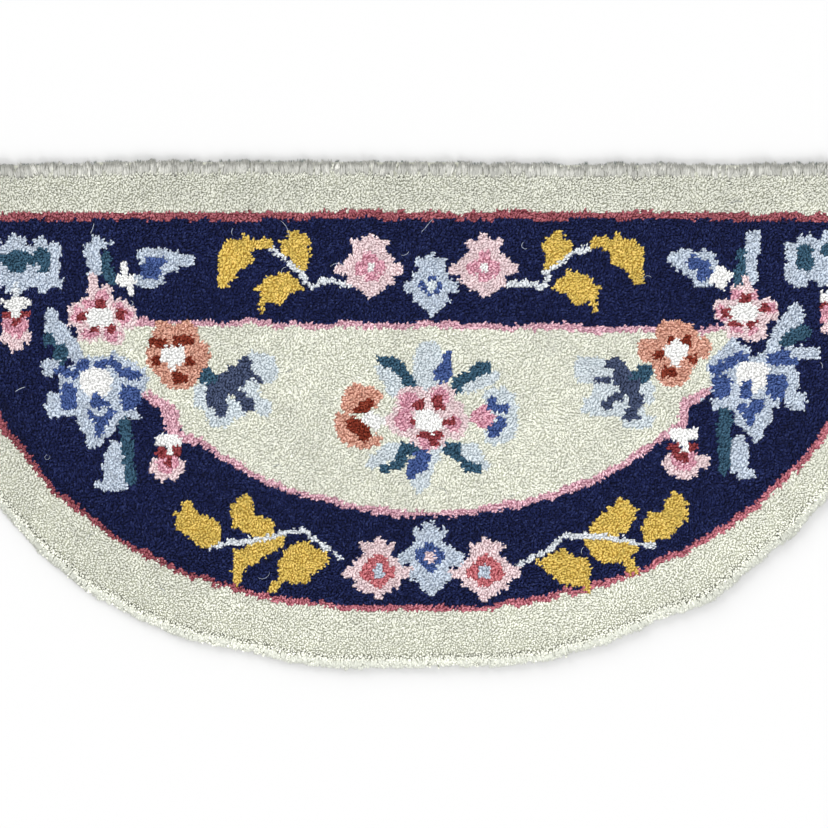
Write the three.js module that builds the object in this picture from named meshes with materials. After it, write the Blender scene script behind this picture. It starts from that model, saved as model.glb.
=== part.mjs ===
// Half-round hand-knotted wool carpet, lying flat on a floor.
// Millimetres, +Z up. The straight edge is at +Y, the curved edge at -Y, and the underside is on z = 0.
import * as THREE from 'three';

// Driving dimensions
const HALF_WIDTH = 610; // middle to either end of the straight edge
const CURVE_DEPTH = 589; // line between the two ends to the lowest point of the curved edge
const STRAIGHT_EDGE_Y = 297; // furthest reach of the straight edge
const END_LINE_Y = 292; // line between the two ends, which the curved edge swings from
const LEFT_FULLNESS = 2.5; // 2 is a plain half ellipse, more is squarer
const RIGHT_FULLNESS = 2.1;
const CORNER = 20; // softened corner where the two edges meet
const THICKNESS = 12; // foundation and pile together

// How the hand-cut edge wanders, outwards from the plain half oval.
// turn: degrees round the curved edge from its right end; out: millimetres
const CURVED_EDGE_WANDER = [
  { turn: 0, out: 0 },
  { turn: 41, out: 0 },
  { turn: 50, out: -1 },
  { turn: 57, out: 6 },
  { turn: 63, out: -1 },
  { turn: 68, out: 1 },
  { turn: 75, out: 4 },
  { turn: 80, out: 4 },
  { turn: 90, out: 0 },
  { turn: 99, out: 1 },
  { turn: 104, out: 3 },
  { turn: 110, out: -1 },
  { turn: 115, out: 1 },
  { turn: 122, out: 2 },
  { turn: 125, out: 0 },
  { turn: 127, out: 3 },
  { turn: 132, out: -2 },
  { turn: 141, out: -3 },
  { turn: 160, out: -1 },
  { turn: 180, out: 0 },
];

// How far the straight edge falls short of its furthest reach.
// x: millimetres from the middle; dip: millimetres
const STRAIGHT_EDGE_DIPS = [
  { x: -HALF_WIDTH, dip: 5 },
  { x: -495, dip: 5 },
  { x: -410, dip: 3.5 },
  { x: -330, dip: 1 },
  { x: -260, dip: 0 },
  { x: -200, dip: 1 },
  { x: -30, dip: 2 },
  { x: 90, dip: 3.5 },
  { x: 260, dip: 4.5 },
  { x: 365, dip: 4 },
  { x: 450, dip: 3 },
  { x: HALF_WIDTH, dip: 5 },
];

// Section of the rim, from the foundation up to the cropped top of the pile, which splays outwards.
// height: share of the thickness; inset: millimetres inside the outline
const RIM_SECTION = [
  { height: 0, inset: 6 },
  { height: 0.2, inset: 2.5 },
  { height: 0.5, inset: 0 },
  { height: 0.8, inset: 1.5 },
  { height: 0.96, inset: 5 },
];

// The top of the pile: rings that shrink towards the middle, sheared by hand and so a shade uneven.
const TOP_RINGS = [0.965, 0.8, 0.5];
const MIDDLE = new THREE.Vector2(0, 40);
const SHEAR_DIP = 0.5; // deepest dip of the sheared top
const SHEAR_WAVE_X = 170; // millimetres between one dip and the next
const SHEAR_WAVE_Y = 230;

const RIM_STEPS = 180; // steps round the outline
const STRAIGHT_STEPS = 24;
const CURVE_STEPS = 60;

const WOOL = new THREE.MeshStandardMaterial({ color: 0xcdcbb9, roughness: 1, metalness: 0 });

/** Reads a table at a place between its rows, easing from one row to the next. */
function readTable(rows, column, value, place) {
  const after = rows.findIndex((row) => row[column] >= place);
  if (after <= 0) {
    return rows.at(after)[value];
  }
  const [low, high] = [rows[after - 1], rows[after]];
  const share = THREE.MathUtils.smoothstep(place, low[column], high[column]);
  return THREE.MathUtils.lerp(low[value], high[value], share);
}

/** A point of the straight edge. */
function straightEdge(x) {
  const dip = readTable(STRAIGHT_EDGE_DIPS, 'x', 'dip', x);
  return new THREE.Vector2(x, STRAIGHT_EDGE_Y - dip);
}

/** A point of the curved edge, by its turn in degrees from the right end. */
function curvedEdge(turn) {
  const angle = THREE.MathUtils.degToRad(turn);
  const fullness = turn < 90 ? RIGHT_FULLNESS : LEFT_FULLNESS;
  const across = Math.abs(Math.cos(angle) / HALF_WIDTH) ** fullness;
  const down = Math.abs(Math.sin(angle) / CURVE_DEPTH) ** fullness;
  const reach = (across + down) ** (-1 / fullness);
  const out = reach + readTable(CURVED_EDGE_WANDER, 'turn', 'out', turn);
  return new THREE.Vector2(out * Math.cos(angle), END_LINE_Y - out * Math.sin(angle));
}

/** Evenly spaced points round the carpet, anticlockwise from the right end of the straight edge. */
function carpetOutline() {
  const cornerTurn = THREE.MathUtils.radToDeg(Math.atan2(CORNER, HALF_WIDTH));
  const straight = [];
  for (let step = 0; step <= STRAIGHT_STEPS; step += 1) {
    const reach = HALF_WIDTH - CORNER;
    straight.push(straightEdge(THREE.MathUtils.lerp(reach, -reach, step / STRAIGHT_STEPS)));
  }
  const curved = [];
  for (let step = 0; step <= CURVE_STEPS; step += 1) {
    curved.push(curvedEdge(THREE.MathUtils.lerp(180 - cornerTurn, cornerTurn, step / CURVE_STEPS)));
  }
  const [start, leftStart, rightEnd] = [straight[0], curved[0], curved.at(-1)];
  const outline = new THREE.Shape();
  outline.moveTo(start.x, start.y);
  outline.splineThru(straight.slice(1));
  outline.quadraticCurveTo(-HALF_WIDTH, END_LINE_Y, leftStart.x, leftStart.y);
  outline.splineThru(curved.slice(1));
  outline.quadraticCurveTo(rightEnd.x, END_LINE_Y, start.x, start.y);
  return outline.getSpacedPoints(RIM_STEPS).slice(0, RIM_STEPS);
}

/** The outline moved inwards by the same distance all round. */
function insetOutline(points, inset) {
  return points.map((point, index) => {
    const before = points.at(index - 1);
    const after = points[(index + 1) % points.length];
    const along = new THREE.Vector2().subVectors(after, before).normalize();
    return new THREE.Vector2(point.x - along.y * inset, point.y + along.x * inset);
  });
}

/** Height of the sheared pile at a place on the carpet. */
function pileTop(place) {
  const across = Math.cos((place.x / SHEAR_WAVE_X) * Math.PI * 2);
  const along = Math.cos((place.y / SHEAR_WAVE_Y) * Math.PI * 2);
  return THICKNESS - SHEAR_DIP * (0.5 + 0.5 * across * along);
}

/** Rings of points from the underside up round the rim and in over the top. */
function carpetRings() {
  const outline = carpetOutline();
  const rim = RIM_SECTION.map(({ height, inset }) =>
    insetOutline(outline, inset).map(({ x, y }) => new THREE.Vector3(x, y, height * THICKNESS)),
  );
  const top = TOP_RINGS.map((share) =>
    outline.map((point) => {
      const place = new THREE.Vector2().lerpVectors(MIDDLE, point, share);
      return new THREE.Vector3(place.x, place.y, pileTop(place));
    }),
  );
  return [...rim, ...top];
}

/** A closed solid through the rings, with a fan from a middle point at each end. */
function closedLoft(rings, bottomMiddle, topMiddle) {
  const count = rings[0].length;
  const points = [...rings.flat(), bottomMiddle, topMiddle];
  const bottom = points.length - 2;
  const top = points.length - 1;
  const lastRing = (rings.length - 1) * count;
  const faces = [];
  for (let step = 0; step < count; step += 1) {
    const next = (step + 1) % count;
    faces.push(bottom, next, step);
    for (let ring = 0; ring < lastRing; ring += count) {
      faces.push(ring + step, ring + next, ring + count + next);
      faces.push(ring + step, ring + count + next, ring + count + step);
    }
    faces.push(top, lastRing + step, lastRing + next);
  }
  const geometry = new THREE.BufferGeometry().setFromPoints(points);
  geometry.setIndex(faces);
  geometry.computeVertexNormals();
  return geometry;
}

/** The whole carpet: one piece, because its pile is knotted into its foundation. */
function makeCarpet() {
  const bottomMiddle = new THREE.Vector3(MIDDLE.x, MIDDLE.y, 0);
  const topMiddle = new THREE.Vector3(MIDDLE.x, MIDDLE.y, pileTop(MIDDLE));
  const carpet = new THREE.Mesh(closedLoft(carpetRings(), bottomMiddle, topMiddle), WOOL);
  carpet.name = 'carpet';
  return carpet;
}

const part = new THREE.Group();
part.name = 'half_round_carpet';
part.add(makeCarpet());

export default part;
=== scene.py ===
"""Half-round hand-knotted carpet: cut wool pile in a charted floral design on a woven cotton foundation."""

from __future__ import annotations

import logging
import math
from dataclasses import dataclass, field
from enum import Enum
from typing import ClassVar, Protocol

import bpy
import numpy as np
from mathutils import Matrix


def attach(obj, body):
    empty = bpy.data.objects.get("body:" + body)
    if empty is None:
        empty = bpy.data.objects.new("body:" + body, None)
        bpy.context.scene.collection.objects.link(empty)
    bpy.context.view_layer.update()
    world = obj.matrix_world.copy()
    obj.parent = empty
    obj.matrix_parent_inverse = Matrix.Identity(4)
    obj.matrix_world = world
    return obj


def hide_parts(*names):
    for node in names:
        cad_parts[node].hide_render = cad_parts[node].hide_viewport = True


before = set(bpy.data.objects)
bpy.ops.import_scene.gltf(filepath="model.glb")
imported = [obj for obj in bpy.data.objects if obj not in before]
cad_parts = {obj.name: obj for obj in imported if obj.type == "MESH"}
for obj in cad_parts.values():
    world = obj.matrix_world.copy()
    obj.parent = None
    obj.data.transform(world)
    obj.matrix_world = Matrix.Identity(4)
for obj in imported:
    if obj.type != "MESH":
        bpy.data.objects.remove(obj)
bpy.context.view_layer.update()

LOG = logging.getLogger("carpet")
BODY = "root"
CAD_NODE = "carpet"
MM = 0.001
SEED = 1927
Array = np.ndarray
Point = tuple[float, float]
Row = tuple[float, float, float, float]
Places = tuple[Array, Array]
Colour = tuple[int, int, int]


def linear(rgb: Colour) -> tuple[float, float, float, float]:
    """Turn a display colour into the linear colour that shaders take.

    Args:
        rgb: Red, green and blue from 0 to 255.

    Returns:
        Linear red, green and blue with full alpha.
    """
    shares = [value / 255.0 for value in rgb]
    curved = [s / 12.92 if s <= 0.04045 else ((s + 0.055) / 1.055) ** 2.4 for s in shares]
    return curved[0], curved[1], curved[2], 1.0


def smooth_noise(x: Array, y: Array, cell: float, rng: np.random.Generator) -> Array:
    """Give random values from 0 to 1 that change smoothly over patches of the carpet.

    Args:
        x: Places across.
        y: Places along.
        cell: Size of a patch, in the unit of the places.
        rng: Source of the random lattice.

    Returns:
        One value for each place.
    """
    across = (x - x.min()) / cell
    along = (y - y.min()) / cell
    lattice = rng.random((int(along.max()) + 2, int(across.max()) + 2))
    column = across.astype(int)
    row = along.astype(int)
    fx = across - column
    fy = along - row
    fx = fx * fx * (3.0 - 2.0 * fx)
    fy = fy * fy * (3.0 - 2.0 * fy)
    near = lattice[row, column] * (1.0 - fx) + lattice[row, column + 1] * fx
    far = lattice[row + 1, column] * (1.0 - fx) + lattice[row + 1, column + 1] * fx
    return near * (1.0 - fy) + far * fy


def nearness(gap: Array, start: float, end: float) -> Array:
    """Tell how near the rim places lie, from 0 at a start distance inside it to 1 at an end distance."""
    return np.clip((start - gap) / (start - end), 0.0, 1.0)


def read_places(items: bpy.types.bpy_prop_collection, what: str) -> Array:
    """Read where the points or faces of a mesh are.

    Args:
        items: The mesh's points or faces.
        what: The name that their place has there.

    Returns:
        One row for each.
    """
    flat = np.empty(len(items) * 3)
    items.foreach_get(what, flat)
    return flat.reshape(-1, 3)


def inside_corners(x: Array, y: Array, corners: list[Point]) -> Array:
    """Tell which places lie inside a closed line of corners.

    Args:
        x: Places across.
        y: Places along.
        corners: The corners in order.

    Returns:
        True inside.
    """
    inside = np.zeros(x.shape, bool)
    for (x0, y0), (x1, y1) in zip(corners, [*corners[1:], corners[0]]):
        if y0 != y1:
            crosses = (y0 > y) != (y1 > y)
            inside ^= crosses & (x < x0 + (y - y0) * (x1 - x0) / (y1 - y0))
    return inside


@dataclass(frozen=True)
class Dye:
    """A dye bath: its colour, the paler colour of its worn strands, and how unevenly it took."""

    colour: Colour
    worn: Colour
    wear: float = 0.3
    unevenness: float = 0.16


class Wool(Enum):
    """The wools in the carpet, each with its dye."""

    IVORY = Dye((240, 241, 229), (249, 249, 240), 0.25, 0.16)
    # Painted shade: a greyer, darker copy of the ivory, for the straight rim's tufts.
    RIM_GREY = Dye((210, 210, 203), (238, 237, 230), 0.45, 0.28)
    # Painted shadow: a dark grey-green for the floor row of the straight rim's tufts, a shadow line along
    # that edge.
    RIM_FOOT = Dye((138, 146, 141), (172, 178, 172), 0.4, 0.2)
    # Painted shade: a darker copy of the ivory, for the curved rim's tufts.
    RIM_WHITE = Dye((217, 219, 208), (234, 235, 226), 0.5, 0.2)
    NAVY = Dye((15, 27, 78), (56, 66, 107), 0.4, 0.44)
    ROSE_LINE = Dye((177, 97, 108), (212, 148, 154), 0.4, 0.26)
    # A paler rose for the rose line's lower right part.
    FADED_ROSE = Dye((203, 123, 137), (229, 174, 182), 0.4, 0.26)
    PINK_LINE = Dye((227, 180, 195), (245, 221, 227), 0.6, 0.26)
    PALE_PINK = Dye((244, 224, 227), (250, 239, 237), 0.3, 0.18)
    ROSE = Dye((229, 169, 188), (247, 223, 228), 0.6, 0.24)
    DARK_RED = Dye((155, 64, 70), (186, 107, 112), 0.3, 0.26)
    CORAL_RED = Dye((213, 122, 130), (231, 175, 177), 0.4, 0.22)
    ORANGE = Dye((226, 173, 152), (240, 210, 197), 0.4, 0.22)
    BROWN_RED = Dye((138, 50, 31), (178, 105, 84), 0.3, 0.24)
    LIGHT_BLUE = Dye((209, 219, 232), (231, 239, 245), 0.3, 0.22)
    PALE_BLUE = Dye((225, 233, 238), (241, 246, 247), 0.35, 0.12)
    ROYAL = Dye((76, 101, 161), (111, 133, 184), 0.3, 0.24)
    TEAL = Dye((61, 99, 124), (90, 123, 143), 0.3, 0.26)
    SLATE = Dye((76, 88, 120), (103, 116, 143), 0.3, 0.2)
    GOLD = Dye((230, 202, 104), (243, 219, 152), 0.3, 0.26)
    WHITE = Dye((255, 255, 254), (255, 255, 255), 0.2, 0.08)
    VINE = Dye((236, 240, 244), (246, 248, 250), 0.3, 0.16)


WOOLS = list(Wool)


class Shape(Protocol):
    """A patch of one wool in the knot chart."""

    wool: Wool

    def covers(self, x: Array, y: Array) -> Array:
        """Tell which places the patch covers."""


@dataclass(frozen=True)
class Spot:
    """A round patch, in knots: an oval, with a higher power a block, with a power near 1 a diamond."""

    wool: Wool
    x: float
    y: float
    wide: float
    high: float
    power: float = 2.0

    def covers(self, x: Array, y: Array) -> Array:
        """Tell which places the patch covers.

        Args:
            x: Places across, in knots.
            y: Places down, in knots.

        Returns:
            True where the patch is.
        """
        across = np.abs((x - self.x) / self.wide)
        down = np.abs((y - self.y) / self.high)
        return across**self.power + down**self.power <= 1.0


@dataclass(frozen=True)
class Facet:
    """An angular patch with a few corners, in knots."""

    wool: Wool
    corners: tuple[Point, ...]

    def covers(self, x: Array, y: Array) -> Array:
        """Tell which places the patch covers."""
        return inside_corners(x, y, list(self.corners))


class BladeForm(Enum):
    """Shares of a blade's half-width at even steps from its base to its tip."""

    STEM = (1.0, 1.0)
    LEAF = (0.5, 0.9, 1.0, 0.85, 0.5)


@dataclass(frozen=True)
class Blade:
    """A leaf, petal or stem along a bent line, in knots."""

    wool: Wool
    line: tuple[Point, ...]
    half_width: float
    form: BladeForm = BladeForm.LEAF
    step: float = 0.5

    def covers(self, x: Array, y: Array) -> Array:
        """Tell which places the blade covers.

        Args:
            x: Places across, in knots.
            y: Places down, in knots.

        Returns:
            True where the blade is.
        """
        points = np.array(self.line)
        lengths = np.hypot(*np.diff(points, axis=0).T)
        reach = np.concatenate(([0.0], np.cumsum(lengths)))
        places = np.linspace(0.0, reach[-1], max(3, int(reach[-1] / self.step)))
        shares = np.linspace(0.0, 1.0, len(self.form.value))
        widths = self.half_width * np.interp(places / reach[-1], shares, self.form.value)
        middles_x = np.interp(places, reach, points[:, 0])
        middles_y = np.interp(places, reach, points[:, 1])
        covered = np.zeros(x.shape, bool)
        for middle_x, middle_y, width in zip(middles_x, middles_y, widths):
            covered |= (x - middle_x) ** 2 + (y - middle_y) ** 2 <= width * width
        return covered


@dataclass(frozen=True)
class HalfRound:
    """A half oval that hangs from a line bowed a little at its ends, in knots, fuller on one side."""

    half_width: float
    top: float
    depth: float
    left_fullness: float
    right_fullness: float
    bow: float = 0.0
    tilt: float = 0.0

    def covers(self, x: Array, y: Array) -> Array:
        """Tell which places lie inside the half oval.

        Args:
            x: Places across, in knots.
            y: Places down, in knots.

        Returns:
            True inside.
        """
        fullness = np.where(x < 0.0, self.left_fullness, self.right_fullness)
        fall = y - self.top - self.tilt * x - self.bow * (x / self.half_width) ** 2
        down = np.maximum(fall, 0.0) / self.depth
        return (fall >= 0.0) & (np.abs(x / self.half_width) ** fullness + down**fullness <= 1.0)


BLOCK_POWER = 3.6


def spots(wool: Wool, *rows: Row) -> list[Shape]:
    """Make oval patches of one wool, each row a middle across and down and its half sizes."""
    return [Spot(wool, *row) for row in rows]


def blocks(wool: Wool, *rows: Row) -> list[Shape]:
    """Make blunt patches of one wool.

    Args:
        wool: Their wool.
        rows: For each patch its inner side, outer side, top and foot.

    Returns:
        The patches.
    """
    return [
        Spot(
            wool, 0.5 * (near + far), 0.5 * (top + foot),
            0.5 * (far - near), 0.5 * (foot - top), BLOCK_POWER,
        )
        for near, far, top, foot in rows
    ]


def stem(wool: Wool, half_width: float, *line: Point) -> Blade:
    """Make a stem of even width along a bent line."""
    return Blade(wool, line, half_width, BladeForm.STEM)


def leaf(wool: Wool, half_width: float, *line: Point) -> Blade:
    """Make a leaf that is widest halfway along a bent line."""
    return Blade(wool, line, half_width, BladeForm.LEAF)


def facet(wool: Wool, *corners: Point) -> Facet:
    """Make an angular patch from its corners."""
    return Facet(wool, corners)


def facets(wool: Wool, *outlines: tuple[Point, ...]) -> list[Shape]:
    """Make angular patches of one wool, each from its corners."""
    return [Facet(wool, corners) for corners in outlines]


def moved(out: float, *corners: Point) -> tuple[Point, ...]:
    """Move corners outward from the middle line."""
    return tuple((x + out, y) for x, y in corners)


class Side(Enum):
    """Which half of the carpet a motif lies in: its places run outward from the middle line."""

    LEFT = -1.0
    RIGHT = 1.0


class Motif(Protocol):
    """A motif that can be laid out as shapes."""

    def shapes(self, side: Side) -> list[Shape]:
        """Lay out the motif for one half of the carpet, the patches underneath first."""


class HandedMotif:
    """A motif charted apart for the two halves, as hand work differs from side to side."""

    left: ClassVar[list[Shape]]
    right: ClassVar[list[Shape]]

    def shapes(self, side: Side) -> list[Shape]:
        """Give the motif's patches for one half of the carpet."""
        return self.left if side is Side.LEFT else self.right


def both_sides(wool: Wool, x: float, y: float, wide: float, high: float) -> list[Shape]:
    """Make a pair of spots, one each side of a motif's middle line."""
    return spots(wool, (-x, y, wide, high), (x, y, wide, high))


@dataclass(frozen=True)
class StarFlower:
    """A four-armed flower with a three-pointed crown, a lobed ring and an eye."""

    petal: Wool
    ring: Wool
    eye: Wool
    half_width: float = 11.6
    up: float = 11.4
    down: float = 9.8
    ring_size: float = 5.4
    eye_size: float = 1.9
    ring_fill: float = 0.8

    def shapes(self, side: Side) -> list[Shape]:
        """Lay out the flower about its middle, the same in both halves.

        Args:
            side: The half it lies in; not used.

        Returns:
            Its patches.
        """
        wide, up, down, ring = self.half_width, self.up, self.down, self.ring_size
        return [
            Spot(self.petal, 0.0, -0.5 * up, 0.44 * wide, 0.42 * up),
            Spot(self.petal, 0.0, -0.86 * up, 0.14 * wide, 0.15 * up),
            *both_sides(self.petal, 0.42 * wide, -0.72 * up, 0.12 * wide, 0.13 * up),
            Spot(self.petal, 0.0, 0.0, 0.86 * wide, 0.66 * up, 1.4),
            *both_sides(self.petal, 0.84 * wide, 0.04 * up, 0.17 * wide, 0.18 * up),
            *both_sides(self.petal, 0.56 * wide, 0.48 * down, 0.13 * wide, 0.14 * down),
            Spot(self.petal, 0.0, 0.52 * down, 0.5 * wide, 0.34 * down),
            Spot(self.petal, 0.0, 0.86 * down, 0.17 * wide, 0.16 * down),
            *both_sides(self.ring, 0.66 * ring, 0.05 * ring, 0.4 * ring, 0.46 * ring),
            Spot(self.ring, 0.08 * ring, -0.66 * ring, 0.42 * ring, 0.34 * ring),
            Spot(self.ring, 0.0, 0.64 * ring, 0.44 * ring, 0.3 * ring),
            Spot(self.ring, 0.0, 0.0, self.ring_fill * ring, self.ring_fill * ring, 1.2),
            Spot(self.eye, 0.0, 0.1, self.eye_size, 1.15 * self.eye_size),
        ]


class EndFlower(HandedMotif):
    """The inner half of the scalloped blue flower at each end of the upper band, over its drooping bud."""

    left: ClassVar[list[Shape]] = [
        *blocks(
            Wool.LIGHT_BLUE,
            (133.5, 141.0, 26.0, 32.0), (126.5, 131.2, 26.7, 32.0), (121.5, 126.2, 28.3, 33.5),
            (123.5, 141.0, 29.8, 42.0), (121.8, 126.0, 32.0, 41.0), (121.0, 124.0, 40.0, 43.8),
            (121.5, 141.0, 38.5, 43.2), (133.0, 137.5, 42.0, 45.5), (126.0, 129.3, 42.0, 45.7),
        ),
        *blocks(
            Wool.TEAL,
            (134.0, 141.0, 31.5, 38.5), (125.5, 131.0, 31.0, 38.8), (129.0, 136.0, 32.3, 36.2),
        ),
        *blocks(Wool.LIGHT_BLUE, (129.3, 133.4, 36.0, 40.0)),
        *blocks(Wool.ROSE, (132.5, 141.5, 52.6, 60.2)),
        *blocks(Wool.PALE_PINK, (134.6, 141.0, 59.6, 65.0), (131.5, 134.8, 57.6, 62.2)),
        *blocks(Wool.DARK_RED, (131.5, 135.5, 51.4, 53.7), (135.4, 139.0, 53.6, 56.2)),
        stem(Wool.VINE, 1.2, (137.0, 43.0), (137.0, 48.0)),
        *blocks(Wool.WHITE, (133.4, 140.0, 47.0, 51.5), (135.2, 138.0, 50.5, 53.8)),
        *spots(Wool.WHITE, (132.8, 48.2, 1.6, 0.9)),
    ]

    right: ClassVar[list[Shape]] = [
        *blocks(
            Wool.LIGHT_BLUE,
            (119.5, 123.5, 28.0, 42.0), (123.0, 129.6, 26.0, 31.0), (129.4, 132.2, 28.0, 33.0),
            (132.0, 139.0, 24.6, 31.0), (119.5, 139.0, 36.0, 43.2), (121.0, 139.0, 29.0, 42.0),
        ),
        *blocks(Wool.TEAL, (123.2, 129.5, 29.6, 38.0), (131.8, 139.0, 29.2, 33.6)),
        *blocks(Wool.NAVY, (129.6, 131.8, 24.6, 28.0), (127.8, 130.6, 41.4, 44.0)),
        *blocks(Wool.ROSE, (131.2, 139.0, 49.0, 55.8)),
        *blocks(Wool.PALE_PINK, (131.5, 139.0, 55.0, 59.2)),
        *blocks(Wool.DARK_RED, (131.3, 134.2, 47.6, 50.0), (134.0, 138.0, 50.6, 53.0)),
        stem(Wool.VINE, 1.2, (135.5, 42.0), (135.5, 46.0)),
        *blocks(Wool.WHITE, (131.4, 139.0, 44.8, 48.2)),
    ]


class UprightLeaf(HandedMotif):
    """The upper corner's upright leaf in pale blue and teal, with the stem of the flower below it."""

    left: ClassVar[list[Shape]] = [
        stem(Wool.LIGHT_BLUE, 0.8, (109.0, 30.4), (105.0, 29.0)),
        *blocks(Wool.TEAL, (105.0, 108.7, 31.3, 42.0), (104.0, 107.6, 38.0, 42.8)),
        *blocks(
            Wool.LIGHT_BLUE,
            (108.8, 114.2, 28.5, 34.5), (108.3, 112.0, 26.6, 32.0), (108.9, 113.2, 33.0, 40.6),
        ),
        stem(Wool.PALE_PINK, 1.5, (111.3, 40.5), (111.2, 48.0)),
    ]

    right: ClassVar[list[Shape]] = [
        *blocks(Wool.TEAL, (103.9, 107.0, 31.0, 38.6), (102.0, 106.0, 36.8, 43.5)),
        *blocks(Wool.LIGHT_BLUE, (106.3, 111.0, 24.6, 33.5), (106.7, 110.7, 32.0, 42.0)),
        stem(Wool.PALE_PINK, 1.5, (106.6, 40.4), (106.6, 45.0)),
    ]


class BlueBud(HandedMotif):
    """The upper corner's blue bud, lying towards the middle, with its white calyx."""

    left: ClassVar[list[Shape]] = [
        *blocks(
            Wool.LIGHT_BLUE,
            (84.0, 96.5, 30.4, 36.0), (86.0, 97.0, 36.0, 43.4), (82.0, 90.0, 31.5, 39.0),
        ),
        stem(Wool.LIGHT_BLUE, 1.7, (84.0, 34.2), (79.2, 34.8)),
        *blocks(Wool.NAVY, (94.6, 99.0, 35.6, 39.0), (83.0, 87.2, 39.6, 44.0)),
        *blocks(Wool.ROYAL, (86.4, 93.2, 33.3, 36.2), (88.0, 95.2, 34.8, 40.2)),
        *blocks(Wool.WHITE, (97.0, 103.8, 39.2, 43.2)),
        stem(Wool.WHITE, 1.1, (100.6, 40.0), (100.5, 35.6)),
        stem(Wool.WHITE, 1.2, (99.2, 42.0), (98.7, 45.4)),
    ]

    right: ClassVar[list[Shape]] = [
        facet(
            Wool.LIGHT_BLUE,
            (80.2, 32.6), (87.3, 30.2), (90.0, 31.8), (93.2, 30.4), (97.8, 35.4), (95.4, 43.8),
            (89.0, 43.4), (87.2, 40.0), (80.6, 35.6),
        ),
        *blocks(Wool.ROYAL, (87.2, 91.6, 33.0, 37.2), (89.7, 94.7, 34.4, 41.6)),
        facet(Wool.WHITE, (97.5, 36.0), (102.6, 39.5), (98.5, 45.2), (93.6, 41.5)),
    ]


class CornerPink(HandedMotif):
    """The upper corner's pink flower: pale lobes, rose insides, dark red marks and a white eye."""

    left: ClassVar[list[Shape]] = [
        *blocks(
            Wool.PALE_PINK,
            (104.4, 109.6, 43.0, 50.0), (109.0, 115.4, 47.0, 53.0), (113.8, 119.6, 49.0, 57.2),
            (96.4, 102.0, 49.4, 57.2), (99.8, 105.0, 46.8, 52.0), (109.4, 116.2, 55.0, 62.2),
            (100.6, 109.6, 56.0, 62.2), (102.0, 115.0, 48.0, 60.0),
        ),
        *spots(
            Wool.ROSE,
            (108.3, 46.8, 2.4, 1.7), (115.9, 53.0, 2.2, 2.8), (100.2, 53.4, 2.3, 3.0),
            (112.0, 59.4, 2.6, 1.9), (105.0, 59.4, 3.2, 1.9), (102.6, 49.6, 1.9, 1.6),
            (112.4, 49.4, 2.0, 1.5),
        ),
        *blocks(
            Wool.DARK_RED,
            (107.3, 110.7, 47.8, 50.6), (112.8, 115.7, 51.8, 54.5), (99.9, 103.7, 51.1, 54.7),
            (109.4, 112.2, 56.6, 59.2), (103.4, 107.2, 56.2, 58.8),
        ),
        *blocks(Wool.WHITE, (104.4, 112.9, 50.5, 57.0)),
    ]

    right: ClassVar[list[Shape]] = [
        *blocks(
            Wool.PALE_PINK,
            (101.0, 110.0, 43.0, 49.0), (96.0, 102.0, 47.4, 55.2), (111.0, 117.2, 47.4, 55.2),
            (99.6, 106.6, 54.0, 61.2), (105.6, 113.4, 54.0, 61.2), (99.0, 114.0, 47.0, 59.0),
        ),
        *spots(
            Wool.ROSE,
            (103.3, 46.0, 2.1, 1.8), (109.3, 46.0, 1.6, 1.7), (98.8, 51.9, 2.0, 2.6),
            (114.6, 51.0, 1.9, 2.4), (103.0, 57.6, 2.2, 1.3), (109.2, 57.6, 2.0, 1.3),
        ),
        *blocks(
            Wool.DARK_RED,
            (104.4, 108.7, 45.4, 48.7), (98.4, 101.7, 50.2, 53.2), (110.6, 114.1, 48.9, 52.1),
            (100.9, 105.1, 54.4, 56.8), (106.4, 109.8, 54.4, 56.8),
        ),
        *spots(Wool.WHITE, (106.0, 51.9, 4.9, 3.3)),
    ]


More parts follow.
